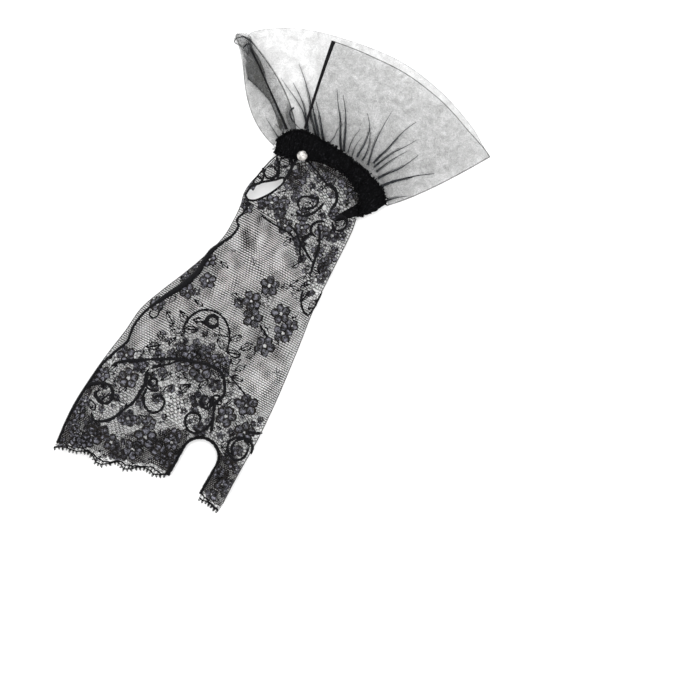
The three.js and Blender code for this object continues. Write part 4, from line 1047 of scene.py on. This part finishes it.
def bandSkin(lift):  # rows of points round the band: its outside where lift is 1, its lining where 0
    forward, back = band["frontSteps"], band["backSteps"]
    ring = [(i / forward, True) for i in range(forward + 1)] + [(1 - i / back, False) for i in range(1, back)]
    rows = []
    for s in range(band["across"]):
        share = s / (band["across"] - 1)
        row = []
        for i, (t, front) in enumerate(ring):
            turn = 2 * math.pi * i / len(ring)
            east, north = math.cos(turn), math.sin(turn)
            sway = waver(5 * east, 5 * north, 1.4 * share)
            wave = 0.5 + 0.5 * math.cos(band["folds"] * turn + 3.2 * sway + 2.0 * share)
            rib = band["foldDepth"] * wave * (1 if front else 0.35) * (0.6 + 0.4 * math.sin(math.pi * share))
            fray = waver(13 * east, 13 * north, 4.0 * share)
            fray += 0.8 * waver(34 * east, 34 * north, 2.0 * share)
            p = bandPoint(t, front, share, lift, rib)
            if lift:
                p.z = max(p.z + 0.25 * fray, 0.05)
            p.y += (1 if s == band["across"] - 1 else -1 if s == 0 else 0) * (0.35 + fray) * band["fray"]
            row.append(p)
        rows.append(row)
    return rows


def closedBand():
    outside, inside = bandSkin(1), bandSkin(0)
    count, rows = len(outside[0]), len(outside)
    points = [p for row in outside + inside for p in row]
    faces = []
    for r in range(rows - 1):
        for c in range(count):
            a, b = r * count + c, r * count + (c + 1) % count
            faces.append((a, b, b + count, a + count))
            a, b = a + rows * count, b + rows * count
            faces.append((a, a + count, b + count, b))
    for c in range(count):
        a, b = c, (c + 1) % count
        faces.append((a, a + rows * count, b + rows * count, b))
        a, b = a + (rows - 1) * count, b + (rows - 1) * count
        faces.append((a, b, b + rows * count, a + rows * count))
    return points, faces


def faceOutwards(piece):
    deselect()
    bpy.context.view_layer.objects.active = piece
    piece.select_set(True)
    bpy.ops.object.mode_set(mode="EDIT")
    bpy.ops.mesh.select_all(action="SELECT")
    bpy.ops.mesh.normals_make_consistent(inside=False)
    bpy.ops.object.mode_set(mode="OBJECT")
    piece.select_set(False)


ruched = meshPiece("ruched_band", *closedBand(), ruchedMesh)
faceOutwards(ruched)
settle(ruched, "ruching", "wrist_band")

# The band's broad right end, where its gathered cloth runs down over the cuff
gusset = {"u": [360, 363, 358, 350, 343, 334, 336, 345, 354, 363, 372, 381, 376, 368],
          "v": [188, 196, 203, 208, 212, 218, 221.5, 220, 217.5, 215.5, 213, 207, 196, 188],
          "height": 0.9, "rough": 0.16, "highest": 11.0}
padRings = (1.0, 0.93, 0.8, 0.6, 0.4, 0.2)


def padPiece(name, pad, baseAt, material):  # a closed, crumpled pad on a drawn outline
    outline = np.c_[glovePoint(pad["u"], pad["v"])]
    edge = smoothRoute(np.r_[outline, outline[:1]], 0.9)[:-1]
    middle = edge.mean(axis=0)
    points, faces, count = [], [], len(edge)
    for n, share in enumerate(padRings):
        for p in edge:
            uneven = waver(0.7 * p[0], 0.7 * p[1], 2.0 * share)
            q = middle + (p - middle) * (share + (pad["rough"] * uneven if n == 0 else 0))
            rise = (pad["height"] + 0.5 * uneven) * (1 - (share - 0.05) ** 4 if n else 0)
            points.append((q[0], q[1], baseAt(q[0], q[1]) - 0.2 + rise))
    for n in range(len(padRings) - 1):
        for k in range(count):
            a, b = n * count + k, n * count + (k + 1) % count
            faces.append((a, b, b + count, a + count))
    last = (len(padRings) - 1) * count
    points.append((middle[0], middle[1], baseAt(*middle) + pad["height"]))
    points.append((middle[0], middle[1], baseAt(*middle) - 0.6))
    for k in range(count):
        faces.append((last + k, last + (k + 1) % count, len(points) - 2))
        faces.append(((k + 1) % count, k, len(points) - 1))
    piece = meshPiece(name, points, faces, material)
    faceOutwards(piece)
    return piece


settle(padPiece("band_gusset", gusset, lambda x, y: min(float(topAt(x, y)), gusset["highest"]), ruchedMesh),
       "ruching", "wrist_band")

# Loose ends and loops of thread that stand out of the ruching
fuzz = {"count": 1700, "long": 1.5, "radius": 0.3, "front": 0.8}
fuzzRoutes = []
for _ in range(fuzz["count"]):
    t, share = dice.random(), dice.choice((0.0, 0.0, 1.0, 1.0, dice.random()))  # most stand at the band's two edges
    front = dice.random() < fuzz["front"]
    foot = bandPoint(t, front, share, 1 if front else 0.9)
    outward = 1 if share > 0.5 else -1
    out = Vector((dice.uniform(-0.7, 0.7), outward * dice.uniform(0.2, 1), dice.uniform(0, 0.8) if front else 0.1))
    bend = Vector((dice.uniform(-0.6, 0.6), dice.uniform(-0.5, 0.5), dice.uniform(-0.2, 0.4)))
    size = fuzz["long"] * dice.uniform(0.4, 1)
    run = [foot + (out * k + bend * k * k) * size * 0.5 for k in (0, 0.6, 1.2, 1.7)]
    fuzzRoutes.append((np.array([(p.x, p.y, max(p.z, 0.15)) for p in run]), fuzz["radius"]))
settle(cordPiece("band_fuzz", fuzzRoutes, ruchedMesh, 0), "ruching", "wrist_band")
print("wrist band made")

# Ruffle: one strip of tulle gathered on the band
ruffleRows = [  # place round the band, front or back, height at the band, middle point, outer edge, gather depth
    (0.27, True, 8.2, (-25.4, 110, 9.0), (-31.8, 142.0, 7.5), 0.6),
    (0.36, True, 9.2, (-12, 111, 12.6), (-12, 144.8, 13.5), 1),
    (0.52, True, 9.6, (12, 111, 14.0), (16, 146.4, 16.5), 1),
    (0.68, True, 9.2, (33, 105, 13.0), (43, 142.8, 15.5), 1),
    (0.84, True, 7.6, (48, 98, 9.6), (66, 135.6, 11.0), 1),
    (0.94, True, 5.4, (55, 92, 6.0), (78, 131.8, 6.2), 0.6),
    (1, True, 3.0, (58.4, 88.8, 2.6), (84.1, 129.3, 2.4), 0.2),
    (0.94, False, 1.4, (54, 93, 0.9), (77, 133, 0.8), 0.4),
    (0.82, False, 1.3, (46, 102, 0.7), (64, 140.2, 0.7), 0.8),
    (0.66, False, 1.3, (28, 109, 0.7), (38, 148.6, 0.7), 1),
    (0.5, False, 1.3, (4, 113, 0.7), (8, 152.0, 0.7), 1),
    (0.34, False, 1.3, (-20, 112, 0.7), (-26, 147.0, 0.7), 1),
    (0.2, False, 1.3, (-38, 104, 0.7), (-54, 138.2, 0.7), 0.8),
    (0.08, False, 1.4, (-49, 93, 0.9), (-76.5, 123.0, 0.8), 0.4),
    (0, True, 2.6, (-50.2, 78.8, 2.4), (-75.2, 110.8, 2.2), 0.2),
    (0.08, True, 4.2, (-49, 91.5, 4.2), (-84.2, 116.4, 4.0), 0.4),
    (0.15, True, 4.8, (-41, 98.6, 5.0), (-76.4, 118.6, 4.8), 0.4),
    (0.2, True, 6.4, (-39, 99.4, 6.6), (-75.6, 118.0, 6.4), 0.2),
    (0.13, True, 7.8, (-47, 95.4, 7.8), (-72.5, 113.8, 7.6), 0.2)]
ruffle = {"gathers": 27, "height": 1.6, "middle": 0.38, "columns": 540, "rows": 30, "fanX": 6, "fanY": 45,
          "clear": 1.1, "clearEnd": 1.7}


def ruffleStart(t, front, z):  # just outside the band, away from the fan's centre
    p = bandPoint(t, front, 0.35 if t == 0 else 1, 1)
    away = Vector((p.x - ruffle["fanX"], p.y - ruffle["fanY"])).normalized()
    clear = ruffle["clearEnd"] if t == 0 else ruffle["clear"]
    return (p.x + away.x * clear, p.y + away.y * clear, z)


ruffleTable = np.array([(*ruffleStart(t, f, z), *mid, *out, deep) for t, f, z, mid, out, deep in ruffleRows])


def tullePoint(c, w):  # c runs along the strip, w from the band to the hem
    last = len(ruffleTable) - 1
    i = min(int(c * last), last - 1)
    f = c * last - i
    a, b, d, e = (ruffleTable[min(max(i + n, 0), last)] for n in (-1, 0, 1, 2))
    row = b + 0.5 * f * (d - a + f * (2 * a - 5 * b + 4 * d - e + f * (3 * (b - d) + e - a)))
    start, mid, out, deep = row[0:3], row[3:6], row[6:9], row[9]
    middle = ruffle["middle"]
    bow = (mid - (start * (1 - middle) + out * middle)) / (2 * middle * (1 - middle))
    p = start * (1 - w) + out * w + bow * 2 * w * (1 - w)
    fade = (1 - w) ** 1.3 * float(smoothStep(w * 8 + 0.35))
    wander = 0.35 * math.sin(41 * c) + 0.3 * math.sin(97 * c + 1)
    wave = 0.5 - 0.5 * math.cos(2 * math.pi * ruffle["gathers"] * c + wander)
    p[2] += ruffle["height"] * deep * wave * (fade + 0.35 * w * float(smoothStep(p[2] / 6)))
    return p


columns, rows = ruffle["columns"], ruffle["rows"]
cs, ws = np.linspace(0, 1, columns + 1), (np.arange(rows + 1) / rows) ** 1.25
tulleGrid = np.array([[tullePoint(c, w) for c in cs] for w in ws])
corners = (r * (columns + 1) + c for r in range(rows) for c in range(columns))
fanFaces = [(k, k + 1, k + columns + 2, k + columns + 1) for k in corners]
fan = meshPiece("tulle_fan", tulleGrid.reshape(-1, 3), fanFaces, silkTulle)
lastRow = len(ruffleRows) - 1
layers = {"front": (0, 6 / lastRow), "back": (6 / lastRow, 14 / lastRow), "flap": (14 / lastRow, 17 / lastRow),
          "flapEnd": (17 / lastRow, 1)}


def columnsOf(low, high):
    return (cs >= low - 1e-6) & (cs <= high + 1e-6)


gatherChart = chart(
    ("front", 0.5, [319, 318, 315, 313, 312], [139, 135, 120, 108, 98]),
    ("front", 0.42, [324, 323, 320, 317, 315], [141, 136, 118, 106, 98]),
    ("front", 0.42, [341, 340, 340, 338, 337], [150, 142, 120, 104, 90]),
    ("front", 0.42, [344, 345, 346, 345, 343], [152, 140, 125, 108, 96]),
    ("front", 0.22, [348, 350, 354, 360], [153, 146, 138, 130]),
    ("front", 0.34, [357, 361, 365, 369, 369, 367], [158, 151, 144, 132, 122, 114]),
    ("front", 0.3, [362, 366, 369, 370, 369], [161, 154, 145, 134, 124]),
    ("front", 0.32, [368, 371, 374, 380, 386, 392], [166, 156, 146, 133, 122, 112]),
    ("front", 0.4, [373, 379, 386, 395, 405, 416], [164, 157, 151, 141, 131, 123]),
    ("front", 0.36, [374, 384, 394, 406, 416], [168, 160, 153, 147, 141]),
    ("front", 0.32, [376, 388, 396, 407], [172, 163, 158, 152]),
    ("front", 0.4, [378, 388, 398, 409, 418], [179, 174, 170, 163, 156]),
    ("front", 0.5, [380, 392, 404, 418, 434], [187, 182, 179, 176, 174]),
    ("front", 0.36, [386, 396, 408], [201, 198, 196]),
    ("front", 0.2, [330, 334, 338, 346], [143, 138, 130, 122]),
    ("front", 0.2, [352, 356, 362], [156, 146, 138]),
    ("back", 0.34, [308, 306, 303, 298, 293], [133, 118, 104, 92, 83]),
    ("back", 0.3, [311, 310, 306, 302, 299], [120, 100, 84, 72, 64]),
    ("back", 0.24, [307, 303, 295, 287, 281], [128, 112, 98, 87, 78]),
    ("back", 0.4, [316, 313, 309], [135, 122, 106]),
    ("flap", 0.26, [284, 278, 271, 266], [143, 137, 126, 118]),
    ("flap", 0.24, [286, 283, 277, 275], [141, 132, 126, 124]),
    ("flap", 0.22, [247.5, 253.3, 261.7, 270, 275, 280, 284], [78, 83.3, 91.7, 101.7, 113, 122, 132], 0.12),
    ("flap", 0.34, [252, 244, 237, 234.5, 239, 246], [43, 37.5, 38.5, 42, 45.5, 47], 0.2),
    ("flap", 0.36, [243, 247, 251, 252, 255], [49, 44.5, 46, 53, 60], 0.25),
    ("flapEnd", 0.4, [294, 290, 291, 295, 301], [108, 112, 118, 124, 130], 0.3),
    names=("layer", "radius", "u", "v", "dense"))

# Cloth crowds where the gathers leave the band and where the flap is rolled
crowdLook = {"atBand": 0.08, "fade": 0.07, "ribs": 2.1, "flapEnd": -0.07, "flap": 0.01, "fold": 0.3, "spread": 3.2,
             "least": 0.5}
ribs = 0.5 + 0.5 * np.cos(2 * np.pi * ruffle["gathers"] * cs * crowdLook["ribs"])
crowd = crowdLook["atBand"] * np.exp(-ws / crowdLook["fade"])[:, None] * ribs[None, :]
crowd += np.where(cs >= 16 / lastRow, crowdLook["flapEnd"],
                  np.where(cs >= layers["flap"][0], crowdLook["flap"], 0))[None, :]
rolled = photoPolygon([246, 250, 259, 263.7, 266.7, 271.7, 278.3, 284.2, 287, 280, 277, 275, 270, 261.7, 253.3, 247.5,
                       245],
                      [50, 44, 58, 68.3, 81.7, 95, 106.7, 120, 130, 130, 121, 113.3, 101.7, 91.7, 83.3, 78.3, 65])
knob = photoPolygon([233, 236.5, 243, 251, 253, 251, 245, 238], [42, 34, 32, 35.5, 43, 52, 48, 45.5])
turnedBack = photoPolygon([287, 294, 292.5, 300, 291, 286], [103, 108, 118, 130, 130, 118])
plan = tulleGrid[..., :2]
inFlap = (cs >= layers["flap"][0])[None, :]
for patch, dense in ((rolled, 0.55), (knob, 0.1), (turnedBack, 0.25)):
    crowd += np.where(insidePolygon(patch, plan[..., 0], plan[..., 1]) & inFlap, dense, 0)
for line in gatherChart:
    route = chartRoute(line["u"], line["v"], 1.0)
    apart = np.hypot(plan[..., 0, None] - route[:, 0], plan[..., 1, None] - route[:, 1])
    nearest, along = apart.min(-1), apart.argmin(-1) / len(route)
    wide = (crowdLook["spread"] * line["radius"] + crowdLook["least"]) * (1 - 0.6 * along)
    wedge = line.get("dense", crowdLook["fold"]) * (1 - 0.75 * along) * np.exp(-(nearest / wide) ** 2)
    crowd += np.where(columnsOf(*layers[line["layer"]])[None, :], wedge, 0)
crowding = fan.data.attributes.new("crowding", "FLOAT", "POINT")
crowding.data.foreach_set("value", crowd.ravel().astype(np.float32))
settle(fan, "tulle", "tulle_ruffle")

trees = {}
for key, ends in layers.items():
    flat = tulleGrid[:, columnsOf(*ends)].reshape(-1, 3)
    finder = kdtree.KDTree(len(flat))
    for n, p in enumerate(flat):
        finder.insert((p[0], p[1], 0), n)
    finder.balance()
    trees[key] = (finder, flat)


def onTulle(plan, layer, lift=0.2):  # lays plan points on one layer of the tulle
    finder, flat = trees[layer]
    heights = [np.mean([flat[n][2] for _, n, _ in finder.find_n((x, y, 0), 3)]) for x, y in plan]
    return np.c_[plan, np.maximum(np.array(heights) + lift, 0.15)]


gatherRoutes = []
twin = {"least": 0.3, "apart": 1.5, "share": 0.62, "radius": 0.42}  # a strong fold has a second, shorter one beside it
for n, line in enumerate(gatherChart):
    route = chartRoute(line["u"], line["v"], 0.9)
    t = np.linspace(0, 1, len(route))
    uneven = waverAlong(route, 0.8, 2.0)
    gatherRoutes.append((onTulle(route, line["layer"]), line["radius"] * (1.4 - 1.1 * t) * (1 + 0.5 * uneven)))
    if line["radius"] < twin["least"] or line["layer"] not in ("front", "back"):
        continue
    run = np.gradient(route, axis=0)
    aside = np.c_[-run[:, 1], run[:, 0]] / np.linalg.norm(run, axis=1, keepdims=True) * (1 if n % 2 else -1)
    second = route + aside * (twin["apart"] * (0.35 + t - 1.6 * t * t) + 0.5 * uneven)[:, None]
    second = second[t < twin["share"]]
    gatherRoutes.append((onTulle(second, line["layer"]), line["radius"] * twin["radius"] * (1.5 - t[:len(second)])))
settle(cordPiece("tulle_gather_folds", gatherRoutes, gatheredTulle, 0), "tulle", "tulle_ruffle")

# The flap's tip, crumpled into a knot
tip = {"u": [233.5, 236.5, 243, 250.5, 252.5, 251, 247, 243, 238.5], "v": [41.5, 34.5, 33, 36, 43, 52, 55, 49, 45.5],
       "height": 1.4, "rough": 0.12, "base": 4.6}
settle(padPiece("tulle_tip", tip, lambda x, y: tip["base"], crumpledTulle), "tulle", "tulle_ruffle")

hem = {"front": 0.28, "back": 0.12, "flap": 0.22, "fold": 0.34, "flapFold": 0.22, "every": 4}
hemRoutes = []
for ends, radius in ((layers["front"], hem["front"]), (layers["back"], hem["back"]),
                     ((layers["flap"][0], 1), hem["flap"])):
    hemRoutes.append((tulleGrid[-1, np.flatnonzero(columnsOf(*ends))[::hem["every"]]], radius))
for c, radius in ((6 / lastRow, hem["fold"]), (14 / lastRow, hem["flapFold"]), (17 / lastRow, hem["fold"])):
    hemRoutes.append((tulleGrid[:, int(round(c * columns))], radius))
settle(cordPiece("tulle_hems", hemRoutes, foldedTulle, 0), "tulle", "tulle_ruffle")

# Bound ends of the strip: narrow bias tape, folded over the edge
tape = {"lift": 0.9, "front": [(0, 0.75), (0.5, 0.9), (0.9, 1.15), (1, 1.3)], "back": [(0, 0.8), (0.5, 0.55), (1, 0.5)]}
for name, column, key, node in (("front_end_binding", 1, "front", "ruffle_edge_front"),
                                ("back_end_binding", columns - 1, "back", "ruffle_edge_back")):
    run = tulleGrid[:, column].copy()
    run[:, 2] += tape["lift"]
    run = smoothRoute(run[1:], 1.1)
    radius = readTable(tape[key], np.linspace(0, 1, len(run)))
    settle(cordPiece(name, [(run, radius)], bindingCord), "binding", node)
print("ruffle made")

# Pearl
pearl = {"x": -13.4, "y": 73.2, "base": 12.0, "radius": 3.1, "height": 4.6, "flatter": 0.97, "seat": 2.7,
         "thread": 0.4, "turns": 25}
deselect()
middle = (pearl["x"] * mm, pearl["y"] * mm, (pearl["base"] + pearl["height"] - pearl["radius"]) * mm)
bpy.ops.mesh.primitive_uv_sphere_add(segments=40, ring_count=24, radius=pearl["radius"] * mm, location=middle)
bead = bpy.context.object
bead.name = "pearl_bead"
bead.scale = (1, 1, pearl["flatter"])
bpy.ops.object.transform_apply(location=True, rotation=True, scale=True)
bpy.ops.object.mode_set(mode="EDIT")
bpy.ops.mesh.select_all(action="SELECT")
bpy.ops.mesh.bisect(plane_co=(0, 0, pearl["base"] * mm), plane_no=(0, 0, 1), use_fill=True,
                    clear_inner=True)  # its flat back
bpy.ops.object.mode_set(mode="OBJECT")
bpy.ops.object.shade_smooth_by_angle(angle=math.radians(40))
bead.data.materials.append(pearlLacquer)
settle(bead, "pearl", "pearl_button")
turns = np.linspace(0, 2 * math.pi, pearl["turns"])
seatRing = np.c_[pearl["x"] + pearl["seat"] * np.cos(turns), pearl["y"] + pearl["seat"] * np.sin(turns),
                 np.full(pearl["turns"], pearl["base"] - 0.1)]
settle(cordPiece("pearl_thread", [(seatRing, pearl["thread"])], bindingCord), "binding", "pearl_button")
print("pearl made")

deselect()
